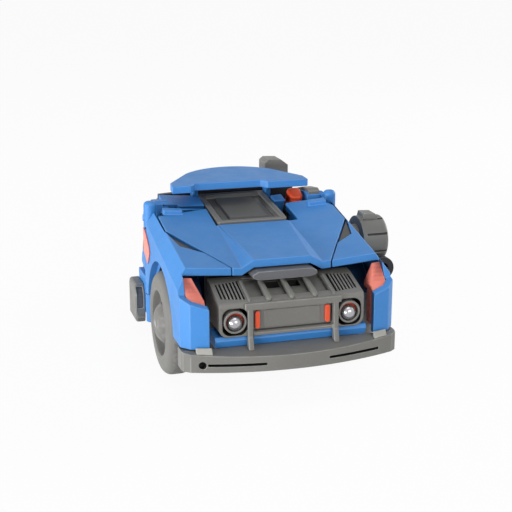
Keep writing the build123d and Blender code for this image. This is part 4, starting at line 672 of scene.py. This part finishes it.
wheel_finish = {end: wheel_plastic(f"{end}_wheel_abs", f"{end}_wheel_left") for end in ("front", "rear")}
marker_outline = [(y * MM, z * MM) for y, z in SIDE_MARKER]
for side, outward in (("left", -1), ("right", 1)):
    fender = moulded(f"fender_{side}", blue_abs, edge=0.25 * MM)
    # The faces that look into the nose or downwards are painted dark: painted shade.
    darken(fender, fender_inside(side, outward), depth=0.85)
    fender_x = max(abs(corner[0]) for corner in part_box(f"fender_{side}"))
    marker = side_plate(f"side_marker_{side}", marker_outline, outward * (fender_x - MARKER_SUNK),
                        outward * (fender_x + MARKER_PROUD), coral_abs, 0.14 * MM)
    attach(marker, f"fender_{side}")
    moulded(f"marker_lamps_{side}", coral_abs)
    moulded(f"vent_insert_{side}", black_abs)
    moulded(f"front_axle_{side}", steel, edge=0)
    moulded(f"front_wheel_{side}", wheel_finish["front"])

# ---- Side blaster -------------------------------------------------------------------------------
# A round drum of grey ABS with eight lengthwise grooves plugs into the right fender by a peg and
# carries the dark barrel.

GROOVE = 0.75 * MM
ACROSS_DRUM = ((0, 1, 0), (0, 0, 1), (0, 0.707, 0.707), (0, 0.707, -0.707))
drum = moulded("blaster_drum", grey_abs)
# The faces inside the grooves are painted dark: painted shade.
darken(drum, between_walls(drum, GROOVE, *ACROSS_DRUM), depth=0.9)
moulded("blaster_barrel", dark_abs)

# ---- Doors and arms -----------------------------------------------------------------------------
# Each blue ABS door swings out on pegs at its front edge.  Behind it the dark forearm leans on its
# elbow peg, with an orange fist on the wrist pin.

for side in ("left", "right"):
    moulded(f"door_{side}", blue_abs)
    moulded(f"forearm_{side}", dark_abs)
    moulded(f"hand_{side}", orange_abs)

# ---- Head ---------------------------------------------------------------------------------------
# A plain helmet of blue ABS with a plain orange band of a visor.  It lies folded under the roof
# on the pegs of its neck.

moulded("head_helmet", blue_abs)
moulded("head_visor", orange_abs)

# ---- Rear halves --------------------------------------------------------------------------------
# The back of the body splits into two legs of blue ABS, which slide on runners of the tub.  Each
# has half the rear window and a wheel on a steel axle, and the right-hand one carries a grey lug
# behind the roof.

for side in ("left", "right"):
    moulded(f"leg_{side}", blue_abs)
    moulded(f"rear_window_{side}", black_abs)
    moulded(f"rear_axle_{side}", steel, edge=0)
    moulded(f"rear_wheel_{side}", wheel_finish["rear"])
moulded("deck_block", grey_abs)

# ---- Feet ---------------------------------------------------------------------------------------
# The blue tail swings down on low pegs into two feet, each with a red lamp bar pressed into its
# face.

RED = (0.45, 0.025, 0.02)
red_abs = plastic("red_abs", RED, roughness=0.3, ribs=("X", 1.0, 0.05))
for side in ("left", "right"):
    moulded(f"foot_{side}", blue_abs)
    moulded(f"tail_light_{side}", red_abs)

# ---- Studio -------------------------------------------------------------------------------------
# A pale floor, a white room, four softboxes and the camera, none of which belong to the car.  The
# lamps are weak, so that each plastic shows its own colour.

WHITE = (1, 1, 1, 1)
FLOOR_PAINT = (0.85, 0.85, 0.85, 1)
FLOOR_HALF = 30.0
FLOOR_GLOW = 0.94
SKY_LIGHT = 0.27


def seen_directly(start):
    """1 for what the camera, a mirror or glass sees, and 0 for the light that falls on the car."""
    return sum(start.node("ShaderNodeLightPath", output=f"Is {kind} Ray")
               for kind in ("Camera", "Glossy", "Transmission"))


low, high = cad_box
floor_mesh = bpy.data.meshes.new("floor")
corners = [(x * FLOOR_HALF, y * FLOOR_HALF, low[2]) for x, y in ((-1, -1), (1, -1), (1, 1), (-1, 1))]
floor_mesh.from_pydata(corners, [], [(0, 1, 2, 3)])
floor = in_scene("floor", floor_mesh)
floor_paint = bpy.data.materials.new("floor_paint")
floor_paint.use_nodes = True
floor_nodes = floor_paint.node_tree.nodes
floor_nodes["Principled BSDF"].inputs["Base Color"].default_value = FLOOR_PAINT
floor_nodes["Principled BSDF"].inputs["Roughness"].default_value = 0.8
start = Wire(floor_paint.node_tree)
surface = floor_nodes["Material Output"].inputs["Surface"]
glow = start.node("ShaderNodeEmission", None, {"Color": WHITE, "Strength": 1.0})
mixed = start.node("ShaderNodeMixShader", None,
                   {0: seen_directly(start) * FLOOR_GLOW, 1: start.behind(surface), 2: glow})
mixed.into(surface)
floor_mesh.materials.append(floor_paint)

world = bpy.data.worlds.new("studio")
bpy.context.scene.world = world
world.use_nodes = True
backdrop = world.node_tree.nodes["Background"]
backdrop.inputs["Color"].default_value = WHITE
strength = seen_directly(Wire(world.node_tree)) * (1 - SKY_LIGHT) + SKY_LIGHT
strength.into(backdrop.inputs["Strength"])


def lamp(name, place, aim, width, height, watts):
    """A softbox at place, turned to aim."""
    light = bpy.data.lights.new(name, "AREA")
    light.shape = "RECTANGLE"
    light.size = width
    light.size_y = height
    light.energy = watts
    box = in_scene(name, light)
    box.location = place
    box.rotation_euler = (Vector(aim) - Vector(place)).to_track_quat("-Z", "Y").to_euler()


middle = (Vector(low) + Vector(high)) / 2
lamp("key", (-0.50, -0.17, 0.05), middle, 0.65, 0.10, 3.4)
lamp("front", (0.15, -0.80, 0.38), middle, 0.5, 0.3, 2.4)
lamp("top", (0.0, -0.15, 0.80), middle, 0.5, 0.5, 1.4)
lamp("right", (0.60, 0.15, 0.25), middle, 0.5, 0.35, 1.8)

AZIMUTH = math.radians(-16.5)
ELEVATION = math.radians(15.53)
camera_data = bpy.data.cameras.new("camera")
camera_data.sensor_width = 36.0
camera_data.lens = 76.3
camera = in_scene("camera", camera_data)
camera.location = (-0.08698, -0.31787, 0.10817)
camera.rotation_euler = (math.pi / 2 - ELEVATION, 0, AZIMUTH)
bpy.context.scene.camera = camera
bpy.context.scene.view_settings.view_transform = "Standard"
